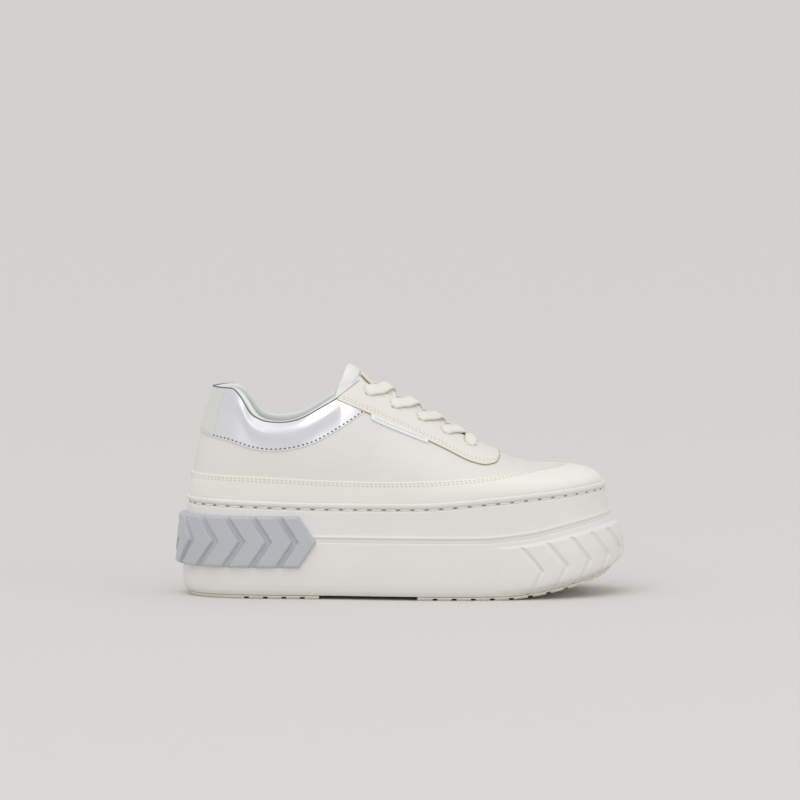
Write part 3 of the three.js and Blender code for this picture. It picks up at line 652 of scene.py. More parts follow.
def wall_point(g, z, extra=0.0):
    """A point on the plain wall of the sole at a height, moved out by extra."""
    g, z = np.broadcast_arrays(np.asarray(g, float), np.asarray(z, float))
    x, y, out_x, out_y = feather(g)
    low = underside(g) + TREAD_THICK + GAP
    part = np.clip((z - low) / (height(RIM, x) - low), 0, 1)
    grow = 0.3 * fade(x, BUMPER["start"], BUMPER["start"] + 5) + 0.7 * fade(x, BUMPER["start"],
                                                                            BUMPER["full"])
    grow = grow * BUMPER["proud"]
    under = np.clip((height(BUMPER_TOP, x) - z) / (2 * BUMPER["bevel"]) + 0.5, 0, 1)
    swell = grow * np.sqrt(under * (2 - under)) * fade(z - low, 0, BUMPER["round"])
    off = wall_offset(g, part) + swell + extra
    return np.stack([x + out_x * off, y + out_y * off, z + 0 * x], -1)


# distance along the wall from the toe tip, for both sides
RUN_G = np.linspace(0, 1, 1201)
RUN = {side: np.concatenate([[0], np.cumsum(np.linalg.norm(
    np.diff(wall_point(side * RUN_G, HALF_WAY), axis=0), axis=1))]) for side in (-1, 1)}


def run_at(g):
    return np.where(g < 0, np.interp(-g, RUN_G, RUN[-1]), np.interp(g, RUN_G, RUN[1]))


def run_of_x(side, x):
    return float(run_at(girth_at(side, x)))


def chevron(g, z, tip, back, top, bottom):
    """The distance of wall points from an arrow groove whose tip is at a run from the toe.

    back is how far its lower and its upper arm lean back.
    """
    middle, half = (top + bottom) / 2, (top - bottom) / 2
    slope = np.where(z < middle, back[0], back[1]) / half
    arm = tip + slope * np.abs(z - middle)
    across = np.abs(run_at(g) - arm) / np.hypot(1, slope)
    ends = np.maximum(np.abs(z - middle) - half, 0)
    return np.hypot(across, ends), (run_at(g) - arm) / np.hypot(1, slope)


def toe_grooves(g, z):
    depth = np.zeros(np.broadcast(g, z).shape)
    for side in (-1, 1):
        first = run_of_x(side, TOE_CHEVRONS["first"])
        for i in range(TOE_CHEVRONS["count"]):
            tip = first - i * TOE_CHEVRONS["pitch"]
            at = side * np.interp(tip, RUN[side], RUN_G)
            x = around("x", at)
            top = height(BUMPER_TOP, x) - 3.6
            bottom = underside(at) + TREAD_THICK - 0.3
            near, signed = chevron(g, z, tip, TOE_CHEVRONS["back"], top, bottom)
            # steep on the toe side, running out gently towards the heel
            half = TOE_CHEVRONS["width"] / 2
            reach = np.where(signed > 0, near / (1.35 * half), near / (0.75 * half))
            cut = TOE_CHEVRONS["depth"] * (1 - fade(reach, 0.25, 1))
            depth = np.maximum(depth, np.where(np.sign(g + 1e-9) == side, cut, 0))
    return depth


def wall_relief(g, z):
    """Bead, stitch groove, raised line and arrow grooves, as a height on the wall."""
    x = around("x", g)
    drop = height(RIM, x) - z
    bead = 0.55 * np.exp(-(((drop - 1.5) / 1.35) ** 4)) - 0.7 * (1 - fade(drop, 0, 0.9))
    groove = -1.35 * np.exp(-(((drop - STITCH_DROP) / 0.95) ** 4))
    line = z - height(MID_LINE, x)
    ridge = 0.6 * np.exp(-((line / 0.75) ** 2))
    fine = -0.55 * np.exp(-(((line + 1.7) / 0.5) ** 2)) - 0.45 * np.exp(-(((line + 3.3) / 0.5) ** 2))
    ahead = fade(x, WRAP["tip"] - 6, WRAP["tip"] + 4)
    return bead + groove + (ridge + fine) * ahead - toe_grooves(g, z)


def wall_rows(g):
    """The heights of the rows for each column, closer together where the wall has detail."""
    x = around("x", g)
    low = underside(g) + TREAD_THICK + GAP
    stops = [(low, 0), (low + 2, 5), (height(BUMPER_TOP, x) - 1.6, 34), (height(BUMPER_TOP, x) + 1.6, 8),
             (height(MID_LINE, x) - 4.4, 2), (height(MID_LINE, x) + 1.6, 16), (height(RIM, x) - 6.4, 5),
             (height(RIM, x), 22)]
    rows = [low]
    for (start, _), (end, count) in zip(stops, stops[1:]):
        rows += [start + (end - start) * k / count for k in range(1, count + 1)]
    return np.array(rows)


def capped(rings, mirrored):
    """Faces for a stack of closed rings, with the first and the last ring closed across."""
    count, wide = len(rings), len(rings[0])
    faces = grid_faces(count, wide, closed=True)
    strip = [(k, mirrored[k], mirrored[k + 1], k + 1) for k in range(len(mirrored) - 1)]
    faces += [[*f] for f in strip]
    last = (count - 1) * wide
    faces += [[last + c for c in f[::-1]] for f in strip]
    return faces


def make_sole():
    toe_from = girth_at(1, 60)
    outer = np.concatenate([even(0, toe_from, 0.6)[:-1], even(toe_from, 1, 1.7)])
    g = np.concatenate([outer, -outer[-2:0:-1]])
    rows = wall_rows(g)
    wall = wall_point(g[None, :], rows, wall_relief(g[None, :], rows))
    x, y, out_x, out_y = feather(g)

    def ring(inset, z):
        return np.stack([x - out_x * inset, y - out_y * inset, z + 0 * x], -1)

    low = underside(g) + TREAD_THICK + GAP
    floor_in = ring(5, low)
    rim_in = [ring(-0.6, height(RIM, x) - 0.3), ring(0.4, height(RIM, x) - 1.2)]
    bed = [ring(1.9, height(FOOTBED, x) + 0.4), ring(2.6, height(FOOTBED, x) - 0.1)]
    rings = np.concatenate([[floor_in], wall, rim_in, bed])
    mirrored = [(-k) % len(g) for k in range(len(outer))]
    faces = capped(rings, mirrored)
    return new_piece("sole_wall", rings.reshape(-1, 3), faces, SOLE_WHITE, "sole_white", ["sole"], weld=0.001)


make_sole()

# %% [markdown]
# ## Sole stitching
# A strong white thread lies in the groove under the bead in long stitches. Between two stitches it
# dives into the rubber; each needle hole is a short brown slot sunk in the groove, its colour painted
# shade for the dark of the hole. On the outer side they show between the stitches; on the inner side
# they fall out of step and lie under the thread.

# %% Sole stitching
SOLE_STITCH_PITCH = 9.0
groove_g = even(-1, 1, 1.5)
groove_z = height(RIM, around("x", groove_g)) - STITCH_DROP
_, _, groove_x, groove_y = feather(groove_g)
groove_out = np.stack([groove_x, groove_y, 0 * groove_x], -1)
groove_line = wall_point(groove_g, groove_z, -0.95)
stitches("sole_stitches", groove_line, groove_out, SOLE_STITCH_PITCH, 6.2, 1.5, WHITE_THREAD, "sole_white")
half_pitch = np.interp(0.5 * SOLE_STITCH_PITCH,
                       np.cumsum(np.linalg.norm(np.diff(groove_line, axis=0), axis=1)),
                       np.arange(len(groove_g) - 1))
shifted = np.interp(np.arange(len(groove_g)) + half_pitch, np.arange(2 * len(groove_g)),
                    np.concatenate([groove_g, groove_g + 2]))
shifted = (shifted + 1) % 2 - 1
shifted_z = height(RIM, around("x", shifted)) - STITCH_DROP
shifted_out = np.stack([*feather(shifted)[2:], 0 * shifted], -1)
# needle holes: sunk slots in a brown that paints the shade of the holes
stitches("sole_needle_slot_shade", wall_point(shifted, shifted_z, -1.25), shifted_out, SOLE_STITCH_PITCH,
         3.3, 0.85, NEEDLE_HOLE_SHADE, "sole_white")

# %% [markdown]
# ## Heel wrap
# A grey rubber band goes round the heel and ends in an arrow on each side. Its arrow channels run
# from edge to edge with flat bottoms. It is a height field too, this time on the sole's wall.

# %% Heel wrap
WRAP_CHEVRONS = {"first": -65.3, "pitch": 16.7, "count": 6, "back": (11.4, 11.4), "width": 3.9, "depth": 2.1}


def make_wrap():
    middle, half = (WRAP["top"] + WRAP["bottom"]) / 2, (WRAP["top"] - WRAP["bottom"]) / 2
    q = np.linspace(-1, 1, 381)
    edge = np.array([0, 0.25, 0.6, 1.0, 1.5, 2.1])
    rows = np.concatenate([WRAP["bottom"] + edge, np.linspace(WRAP["bottom"] + 2.7, WRAP["top"] - 2.7, 47),
                           WRAP["top"] - edge[::-1]])
    side = np.where(q < 0, -1, 1)
    reach = {s: RUN[s][-1] - run_of_x(s, WRAP["tip"]) for s in (-1, 1)}
    length = np.where(q < 0, reach[-1], reach[1])
    from_tip = np.abs(rows[:, None] - middle) / half * WRAP["corner"] * np.abs(q)
    from_heel = np.maximum(np.abs(q) * length - from_tip, 0)
    start = np.where(q < 0, RUN[-1][-1], RUN[1][-1])
    run = start - from_heel
    g = side * np.where(side < 0, np.interp(run, RUN[-1], RUN_G), np.interp(run, RUN[1], RUN_G))
    back = 1 - from_heel / length
    proud = WRAP["side"] + (WRAP["back"] - WRAP["side"]) * back ** 1.4
    # rounded edges: above, below and at the arrow ends
    inside = np.minimum(rows - WRAP["bottom"], WRAP["top"] - rows)[:, None]
    inside = np.minimum(inside, (1 - np.abs(q)) * length)
    t = np.clip(inside / 1.7, 0, 1)
    rise = np.sqrt(t * (2 - t))
    depth = np.zeros(g.shape)
    for s in (-1, 1):
        for i in range(WRAP_CHEVRONS["count"]):
            tip = run_of_x(s, WRAP_CHEVRONS["first"]) + i * WRAP_CHEVRONS["pitch"]
            near, _ = chevron(g, rows[:, None], tip, WRAP_CHEVRONS["back"], WRAP["top"] + 1,
                              WRAP["bottom"] - 1)
            cut = 1 - fade(near, WRAP_CHEVRONS["width"] / 2 - 0.5, WRAP_CHEVRONS["width"] / 2 + 0.1)
            depth = np.maximum(depth, np.where(side == s, cut * WRAP_CHEVRONS["depth"], 0))
    outer = wall_point(g, rows[:, None], GAP + np.maximum(proud * rise - depth, 0.1 * rise))
    inner = wall_point(g, rows[:, None], 0.05)
    points = np.concatenate([outer, inner[::-1]])
    count = len(points)
    faces = grid_faces(count, len(q), flip=True)
    seam = [[len(q) * (count - 1) + k, len(q) * (count - 1) + k + 1, k + 1, k] for k in range(len(q) - 1)]
    faces += [f[::-1] for f in seam]
    for k, turn in ((0, 1), (len(q) - 1, -1)):
        edge_loop = [row * len(q) + k for row in range(count)]
        faces += [[edge_loop[r], edge_loop[r + 1], edge_loop[-r - 2], edge_loop[-r - 1]][::turn]
                  for r in range(len(rows) - 1)]
    return new_piece("heel_wrap", points.reshape(-1, 3), faces, WRAP_GREY, "wrap_grey", ["heel_bumper"],
                     weld=0.001)


make_wrap()
for pad in ("outsole_heel", "outsole_forefoot"):
    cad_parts[pad].data.materials.clear()
    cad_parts[pad].data.materials.append(TREAD)

# %% [markdown]
# ## Insole
# The foot stands on a soft cloth-covered insole, slightly cupped at its edge.

# %% Insole
def make_insole():
    outer = even(0, 1, 3)
    g = np.concatenate([outer, -outer[-2:0:-1]])
    x, y, out_x, out_y = feather(g)
    rings = []
    for inset, rise in ((4.9, 0.3), (4.6, 1.2), (4.7, 3.6), (5.3, 4.4), (6.6, 4.5), (9, 4.1), (13, 3.9)):
        rings.append(np.stack([x - out_x * inset, y - out_y * inset, height(FOOTBED, x) + rise], -1))
    mirrored = [(-k) % len(g) for k in range(len(outer))]
    points = np.array(rings)
    uv = points.reshape(-1, 3)[:, :2]
    return new_piece("insole_pad", points.reshape(-1, 3), capped(rings, mirrored), INSOLE_CLOTH,
                     "insole_fabric",
                     ["insole"], uv=uv, weld=0.001)


make_insole()

# %% [markdown]
# ## Upper
# The upper is one shell: the outer skin goes up each section to the collar or the throat, turns
# over the edge and comes back down 2 mm further in as the lining. Ahead of the throat the two
# sides meet on the ridge, so there is no edge to turn over.

# %% Upper
UPPER_WALL = 2.0


def skin(g, low, high, rows, offset, at=on_upper):
    """Rows of points between two edges given as t for each g."""
    b = np.asarray(rows)[:, None]
    return at(g[None, :], low + (high - low) * b, offset)


def make_upper():
    corner = girth_at(1, 58)
    outer = np.concatenate([even(0, corner, 1.3)[:-1], even(corner, girth_at(1, 40), 0.5)[:-1],
                            even(girth_at(1, 40), 1, 1.3)])
    g = np.concatenate([outer, -outer[-2:0:-1]])
    top = top_of(g)
    x, y, out_x, out_y = feather(g)
    tucked = np.stack([x - out_x * 1.7, y - out_y * 1.7, height(RIM, x) - 9], -1)
    steps = np.linspace(0, 1, 53)
    outside = skin(g, 0, top, steps, 0.0)
    edge = [skin(g, 0, top, [1], -0.35)[0], skin(g, 0, top, [1], -UPPER_WALL + 0.35)[0]]
    open_edge = (top < 0.9995)[:, None]
    lift = np.where(open_edge, 0.35, 0) * np.array([0, 0, 1.0])
    edge = [ring + lift for ring in edge]
    inside = skin(g, 0, top, steps[::-2], -UPPER_WALL)
    tucked_in = tucked - np.stack([out_x, out_y, 0 * x], -1) * UPPER_WALL
    rings = np.concatenate([[tucked], outside, edge, inside, [tucked_in]])
    wide = len(g)
    faces = np.array(grid_faces(len(rings), wide, closed=True))
    # over the ridge there is no edge: those faces go, and the two sides are welded
    row = faces[:, 0] // wide
    column = faces[:, 0] % wide
    ridge = (top >= 0.9995) & (np.roll(top, -1) >= 0.9995)
    turning = (row >= len(outside)) & (row < len(outside) + 3)
    faces = faces[~(turning & ridge[column])].tolist()
    bottom = [[k, (k + 1) % wide, (len(rings) - 1) * wide + (k + 1) % wide, (len(rings) - 1) * wide + k]
              for k in range(wide)]
    faces += [f[::-1] for f in bottom]
    all_faces = np.array(faces)
    piece = new_piece("upper_shell", rings.reshape(-1, 3), faces, LEATHER, "upper_leather", ["upper"],
                      extra=(LINING,))
    lined = all_faces[:, 0] // wide >= len(outside) + 3
    piece.data.polygons.foreach_set("material_index", lined.astype(int))
    tidy_mesh(piece.data, 0.004)
    return piece


UPPER = make_upper()

# %% [markdown]
# ## Mudguard and toe cap
# A band of creamier leather runs all round the foot just above the sole and closes over the toe as
# a cap. It is a thin panel laid on the upper, with its cut edge rounded, so a shadow falls under it.

# %% Mudguard and toe cap
PANEL_THICK = 0.9


def top_of_mudguard(g):
    return first_crossing(g, lambda p: p[..., 2] - spline(MUDGUARD, p[..., 0]))


def make_mudguard():
    outer = even(0, 1, 1.1)
    g = np.concatenate([outer, -outer[-2:0:-1]])
    top = top_of_mudguard(g)
    edge, rise = with_edges(26, 24.0, 0.45, PANEL_THICK, 0.2)
    keep = slice(4, None)
    b = np.concatenate([[0], edge[keep][1:]])
    lift = np.concatenate([[PANEL_THICK], rise[keep][1:]])
    rows = on_upper(g[None, :], top * b[:, None], lift[:, None] * np.ones(len(g)))
    back = on_upper(g[None, :], top * b[::-3, None], -0.2)
    x, y, out_x, out_y = feather(g)
    under = np.stack([x - out_x * 0.3, y - out_y * 0.3, height(RIM, x) - 2], -1)
    points = np.concatenate([[under], rows, back, [under]])
    faces = grid_faces(len(points), len(g), closed=True)
    return new_piece("mudguard", points.reshape(-1, 3), faces, MUDGUARD_LEATHER, "upper_leather", weld=0.004)


make_mudguard()

around_g = even(-1, 1, 1.0)
mudguard_top = top_of_mudguard(around_g)
open_part = mudguard_top < 0.985
for row, drop in (("upper", 1.4), ("lower", 2.9)):
    t = down_from(around_g, mudguard_top, drop)
    halves = [np.flatnonzero(open_part & (around_g < 0)), np.flatnonzero(open_part & (around_g > 0))]
    for side, pick in zip(("outer_side", "inner_side"), halves):
        line = on_upper(around_g[pick], t[pick], PANEL_THICK)
        up = last_normal(around_g[pick], t[pick])
        stitches(f"mudguard_stitches_{row}_{side}", line, up, 2.7, 1.9, 0.55, THREAD, "upper_leather",
                 sink=-0.02)

# %% [markdown]
# ## Silver collar panel
# A foil-covered panel wraps the ankle and heel, padded under the collar, so it catches a bright
# line there. Its lower edge is held by a row of fine violet stitches. At the back a duller, warmer
# patch of film lies over the foil: a painted reflection, copying the foil's darker reflection there.

# %% Silver collar panel
SILVER_FRONT_X = -22.0
FOIL_THICK = 0.55


def round_heel(front_x, spacing=1.0):
    """g from the outer side at front_x, round the heel, to the same place on the inner side."""
    start, end = girth_at(-1, front_x), girth_at(1, front_x)
    return even(start, -1, spacing), even(1, end, spacing)


def band_round_heel(front_x, low_of, high_of, spacing=1.0):
    first, second = round_heel(front_x, spacing)
    g = np.concatenate([first, second[1:]])
    return g, low_of(g), high_of(g)


def make_band(name, band, thick, material, slot, rows=30, lift=0.0):
    g, low, high = band
    length = np.linalg.norm(np.diff(last_point(g, low), axis=0), axis=1).sum()
    width = np.linalg.norm(last_point(g, high) - last_point(g, low), axis=-1).mean()

    def place(a, b, offset):
        at = a[0] * (len(g) - 1)
        gg = np.interp(at, np.arange(len(g)), np.where(g > 0, g - 2, g))
        lo, hi = np.interp(at, np.arange(len(g)), low), np.interp(at, np.arange(len(g)), high)
        return on_upper(gg[None, :], lo + (hi - lo) * b, offset + lift)

    return plate(name, place, (len(g), rows), (length, width), thick, 0.3, material, slot, sink=0.25)


silver_g, silver_low, silver_high = band_round_heel(SILVER_FRONT_X, lambda g: climb(g, SILVER_EDGE), top_of)
silver_low = np.minimum(silver_low, silver_high - 0.012)
make_band("silver_collar", (silver_g, silver_low, silver_high), FOIL_THICK, SILVER, "upper_leather")
stitch_t = down_from(silver_g, silver_low, -1.5)
visible = silver_high - silver_low > 0.03
stitches("silver_stitches", on_upper(silver_g, stitch_t, FOIL_THICK)[visible],
         last_normal(silver_g, stitch_t)[visible], 2.9, 1.8, 0.8, VIOLET_THREAD, "upper_leather", sink=-0.02)

# outline of the heel patch, a painted reflection on the foil: its front edge as height and x, its top and its
# low edge
STRIP_EDGE = ((98, -118.2), (102, -117.5), (116, -114.6), (131.4, -109.8))  # height and x
STRIP_TOP = 131.2
STRIP_LOW = {"edge": 101.0, "back": 103.4}


def make_heel_reflection_patch():
    steps = np.linspace(0, 1, 41)
    scan_g, scan_z = np.linspace(1, 0.7, 31), np.linspace(95, 135, 21)
    sections = last_point(scan_g[None, :], steps[:, None])
    x_at = np.array([[np.interp(z, sections[:, k, 2], sections[:, k, 0]) for k in range(31)] for z in scan_z])
    wanted = np.interp(scan_z, *np.array(STRIP_EDGE).T)
    g_edge = np.array([np.interp(x, row, scan_g) for x, row in zip(wanted, x_at)])

    def place(a, b, offset):
        across = 2 * a - 1
        low = STRIP_LOW["back"] + (STRIP_LOW["edge"] - STRIP_LOW["back"]) * across**2
        z = low + (STRIP_TOP - low) * b
        g = -1 + across * (1 - np.interp(z, scan_z, g_edge))
        columns = last_point(g[..., None], steps)
        t = np.array([[np.interp(z[i, j], columns[i, j, :, 2], steps) for j in range(z.shape[1])]
                      for i in range(z.shape[0])])
        return on_upper(g, t, offset + FOIL_THICK)

    return plate("heel_reflection_patch", place, (44, 22), (42, 30), 0.35, 0.2, HEEL_REFLECTION_PATCH, "upper_leather", sink=0.3)


make_heel_reflection_patch()

# %% [markdown]
# ## Collar edge and lining
# A thin dark piping closes the top edge. Inside it the lining is a soft roll that stands a little
# higher than the edge and runs up to the tongue on both sides.

# %% Collar edge and lining
LINING_ROLL = {"width": 5.2, "thick": 8.0, "rise": 1.4, "inset": 2.9, "front": -27}
collar_halves = round_heel(LINING_ROLL["front"], 0.9)
collar_g = np.concatenate([collar_halves[0], collar_halves[1][1:]])
collar_t = top_of(collar_g)
collar_out = last_normal(collar_g, collar_t)


def softened(values, times):
    """Evens out a line of points along its run, leaving the ends alone."""
    values = np.array(values)
    for _ in range(times):
        values[1:-1] = (values[:-2] + 2 * values[1:-1] + values[2:]) / 4
    return values


piping_path = softened(on_upper(collar_g, collar_t, 0.15), 12) + (0, 0, 0.25)
new_piece("collar_piping", *tube(piping_path, collar_out, 1.1, 1.1, sides=8, square=2)[:2], PIPING,
          "upper_leather")
roll_path = softened(on_upper(collar_g, collar_t, -LINING_ROLL["inset"]), 40)
roll_rise = LINING_ROLL["rise"] + 1.6 * fade(roll_path[:, 0], -62, -38)
roll_path[:, 2] += roll_rise - LINING_ROLL["thick"] / 2
inward = softened(collar_out * (1, 1, 0.2), 40)
points, faces, uv = tube(roll_path, inward, LINING_ROLL["width"], LINING_ROLL["thick"], sides=22, square=2.2)
LINING_PIECE = new_piece("collar_lining", points, faces, LINING, "insole_fabric", uv=uv)

# %% [markdown]
# ## Lace facing
# The facing is one cream piece on both sides of the throat, joined round its front end. Its lower
# edge is cut raw, and two rows of stitches follow it. Each side is a strip of columns between the
# cut edge and the throat; ahead of the throat the two strips meet on the ridge and are welded.

# %% Lace facing
FACING_THICK = 1.3
CORNER_ROUND = 3.5  # softens the corner where the lower edge meets the front end


def in_facing(points):
    x, y, z = points[..., 0], points[..., 1], points[..., 2]
    q = (y - FACING_PLAN["centre"]) / FACING_PLAN["half"]
    front = FACING_PLAN["front"] - FACING_PLAN["round"] * q**4 - x
    over = z - spline(FACING_EDGE, x)
    return (over + front - np.hypot(over - front, CORNER_ROUND)) / 2


def facing_strip(side):
    """g, lower t and upper t of the facing on one side, from its front end to the collar.

    Both sides use the same columns, so that their points meet on the ridge.
    """
    scan = np.linspace(0.2, 0.7, 1200)
    inside = np.concatenate([np.flatnonzero(top_of(s * scan) - first_crossing(s * scan, in_facing) > 0.004)
                             for s in (-1, 1)])
    g = -side * even(-scan[inside.min()], -scan[inside.max()], 0.55)
    high = top_of(g)
    return g, np.minimum(first_crossing(g, in_facing), high), high


def make_facing():
    parts = []
    for side in (-1, 1):
        g, low, high = facing_strip(side)
        width = 26.0
        places, rise = with_edges(34, width, 0.45, FACING_THICK, 0.2)
        on_ridge = high >= 0.9995
        lift = np.where(on_ridge[None, :] & (places > 0.5)[:, None], FACING_THICK, rise[:, None])
        ends = np.arange(len(g))
        taper = np.interp(ends, [0, 1, 2, len(g) - 3, len(g) - 2, len(g) - 1], [0, 0.7, 1, 1, 0.7, 0])
        lift = np.minimum(lift, -0.2 + (FACING_THICK + 0.2) * taper[None, :])
        outside = on_upper(g[None, :], low + (high - low) * places[:, None], lift)
        inside = on_upper(g[None, :], low + (high - low) * places[::-1, None], -0.2)
        points = np.concatenate([outside, inside])
        faces = np.array(grid_faces(len(points), len(g), flip=side > 0))
        row, column = faces.min(1) // len(g), faces.min(1) % len(g)
        ridge = on_ridge & np.append(on_ridge[1:], False)
        faces = faces[~((row == len(outside) - 1) & ridge[column])].tolist()
        parts.append((points.reshape(-1, 3), faces, points.reshape(-1, 3)[:, ::2]))
    points, faces, uv = joined(parts)
    return new_piece("lace_facing", points, faces, FACING_LEATHER, "facing_cream", ["eyestay"], uv=uv,
                     weld=0.004)


FACING = make_facing()
for side, word in ((-1, "outer"), (1, "inner")):
    g, low, high = facing_strip(side)
    keep = (high - low) > 0.05
    for row, rise in enumerate((2.4, 4.2)):
        t = down_from(g, low, -rise)
        stitches(f"facing_stitches_{word}_{row + 1}", on_upper(g, t, FACING_THICK)[keep],
                 last_normal(g, t)[keep],
                 2.6, 1.7, 0.5, THREAD, "facing_cream", sink=-0.02)
    # a tan-brown line along the facing's raw lower edge: the edge's own colour, darkened as painted shade
    # under the edge
    edge_line = on_upper(g, low, 0.3)
    new_piece(f"facing_cut_edge_{word}",
              *tube(edge_line, last_normal(g, low), 0.9, 0.5, sides=6, square=2)[:2],
              CUT_EDGE_AND_SHADE, "facing_cream")

# %% [markdown]
# ## Eyelet holes
# The five pairs of holes are punched straight through facing and upper. One joined set of round
# cutters is subtracted from both pieces, and the cutter is thrown away.

# %% Eyelet holes
EYELETS = ((-20.6, 127.6), (-4.1, 119.2), (12.6, 111.1), (28.2, 102.6), (43.7, 94.8))
EYELET_RADIUS = 2.2
eyelet_places = {side: [find_on_last(side, x, z) for x, z in EYELETS] for side in (-1, 1)}


def make_punch():
    parts = []
    turn = np.linspace(0, 2 * np.pi, 24, endpoint=False)
    for side in (-1, 1):
        for g, t in eyelet_places[side]:
            centre, normal = last_point(g, t), last_normal(g, t)
            first = unit(np.cross(normal, (0, 1, 0.3)))
            second = np.cross(normal, first)
            circle = EYELET_RADIUS * (np.cos(turn)[:, None] * first + np.sin(turn)[:, None] * second)
            rings = [centre + circle + normal * reach for reach in (-5, 5)]
            points = np.concatenate(rings)
            faces = grid_faces(2, len(turn), closed=True)
            faces += [list(range(len(turn)))[::-1], list(range(len(turn), 2 * len(turn)))]
            parts.append((points, faces, points[:, :2]))
    points, faces, _ = joined(parts)
    mesh = bpy.data.meshes.new("punch")
    mesh.from_pydata((points * MM).tolist(), [], faces)
    punch = bpy.data.objects.new("punch", mesh)
    bpy.context.collection.objects.link(punch)
    return punch


def punch_holes(piece, punch):
    cut = piece.modifiers.new("punch", "BOOLEAN")
    cut.object = punch
    cut.operation = "DIFFERENCE"
    cut.solver = "EXACT"
    graph = bpy.context.evaluated_depsgraph_get()
    cut_mesh = bpy.data.meshes.new_from_object(piece.evaluated_get(graph))
    piece.modifiers.remove(cut)
    before = len(piece.data.polygons)
    piece.data = cut_mesh
    print(piece.name, "faces before and after the punch:", before, len(cut_mesh.polygons))


punch = make_punch()
for piece in (FACING, UPPER):
    punch_holes(piece, punch)
bpy.data.objects.remove(punch)

# %% [markdown]
# ## Tongue
# The tongue is a padded leather flap under the laces. Its thickness swells in the middle and thins
# out at the wings, and a stitched channel follows its rounded top edge.

# %% Tongue
TONGUE = {"front": 56, "centre": 6.93 / SPANS, "wing": (-44, 127.8), "thick": 4.6, "clear": 1.9,
          "binding": 0.9}


def tongue_point(q, k, offset):
    """q from -1 to 1 across the tongue, k from 0 at the front to 1 at the top edge."""
    front = girth_at(1, TONGUE["front"])
    side = np.where(q < 0, -1, 1)
    wing_g = abs(find_on_last(-1, *TONGUE["wing"])[0])
    end = TONGUE["centre"] + (wing_g - TONGUE["centre"]) * np.abs(q) ** 1.6
    wing = 0.66 - 0.08 * k
    t = 1 - np.abs(q) * (1 - wing)
    rise = fade(k, 0.78, 0.97) * 5 * np.maximum(1 - (np.abs(q) / 0.62) ** 3, 0)
    g = front + (end - front) * k
    inner = off_last(g, t, -UPPER_WALL - TONGUE["clear"] + rise + offset)
    outer = off_last(-g, t, -UPPER_WALL - TONGUE["clear"] + rise + offset)
    return np.where((side > 0)[..., None], inner, outer)


def make_tongue():
    q = np.sin(np.linspace(-np.pi / 2, np.pi / 2, 61)) * 0.5 + np.linspace(-1, 1, 61) * 0.5
    k = np.concatenate([np.linspace(0, 0.8, 50)[:-1], np.linspace(0.8, 1.0, 40)])
    qq, kk = np.meshgrid(q, k)
    body = np.sqrt(np.clip(1 - np.abs(qq) ** 6, 0, 1)) * np.sqrt(np.clip((1.0 - kk) / 0.022, 0, 1) *
                                                               (2 - np.clip((1.0 - kk) / 0.022, 0, 1)))
    body = np.maximum(body, 0.02)
    channel = np.exp(-(((kk - TONGUE["binding"]) / 0.008) ** 2))
    puff = 0.8 * np.cos(qq * np.pi / 2) * fade(kk, 0.7, 0.85) - 0.9 * channel
    half = TONGUE["thick"] / 2
    top = tongue_point(qq, kk, -half + (half + puff) * body)
    under = tongue_point(qq, kk, -half - half * body)
    faces = grid_faces(*qq.shape) + grid_faces(*qq.shape, start=qq.size, flip=True)
    rim = ([(0, j) for j in range(len(q))] + [(i, len(q) - 1) for i in range(1, len(k))]
           + [(len(k) - 1, j) for j in range(len(q) - 2, -1, -1)] + [(i, 0) for i in range(len(k) - 2, 0,
                                                                                           -1)])
    loop = [i * len(q) + j for i, j in rim]
    faces += [[loop[n], loop[(n + 1) % len(loop)], qq.size + loop[(n + 1) % len(loop)],
               qq.size + loop[n]][::-1]
              for n in range(len(loop))]
    points = np.concatenate([top.reshape(-1, 3), under.reshape(-1, 3)])
    uv = np.concatenate([np.stack([qq * 30, kk * 90], -1).reshape(-1, 2)] * 2)
    piece = new_piece("tongue_pad", points, faces, TONGUE_LEATHER, "tongue_fabric", ["tongue"], uv=uv,
                      weld=0.002)
    return piece


make_tongue()

# %% [markdown]
# ## Tongue label
# A small plain leather tab is sewn across the front of the tongue near its top; it keeps the top
# lace in place. It is blank.

# %% Tongue label
LABEL = {"half": 0.2, "low": 0.8, "high": 0.9, "lift": 0.9}


def make_label():
    def place(a, b, offset):
        across = (2 * a - 1) * LABEL["half"]
        along = LABEL["low"] + (LABEL["high"] - LABEL["low"]) * b
        return tongue_point(across, along, offset + LABEL["lift"])

    label = plate("tongue_label", place, (26, 16), (11, 9), 1.2, 0.35, FACING_LEATHER, "facing_cream",
                  sink=0.4)
    # brown lines down both sides of the label: painted shadow for the shaded slot between label and tongue
    k = np.linspace(LABEL["low"] + 0.005, LABEL["high"] - 0.005, 24)
    for side, word in ((-1, "outer"), (1, "inner")):
        edge = tongue_point(np.full(24, side * LABEL["half"]), k, np.full(24, LABEL["lift"] + 0.75))
        new_piece(f"tongue_label_slot_shadow_{word}", *tube(edge, (0, 1, 0), 0.7, 1.0, sides=8, square=2)[:2],
                  CUT_EDGE_AND_SHADE, "facing_cream")
    return label


make_label()

# %% [markdown]
# ## Laces
# The laces are flat, soft and slightly puffed. Each strand comes out from under the facing one
# hole lower on its own side, crosses the throat and goes down into a hole on the far side; a
# straight bar closes the front pair. Every path is a short list of places: under the edge, over the
# tongue, over the far edge, down to the hole and into it.

# %% Laces
LACE = {"width": 8.0, "thick": 2.0, "above": 1.05, "hole": 4.0}


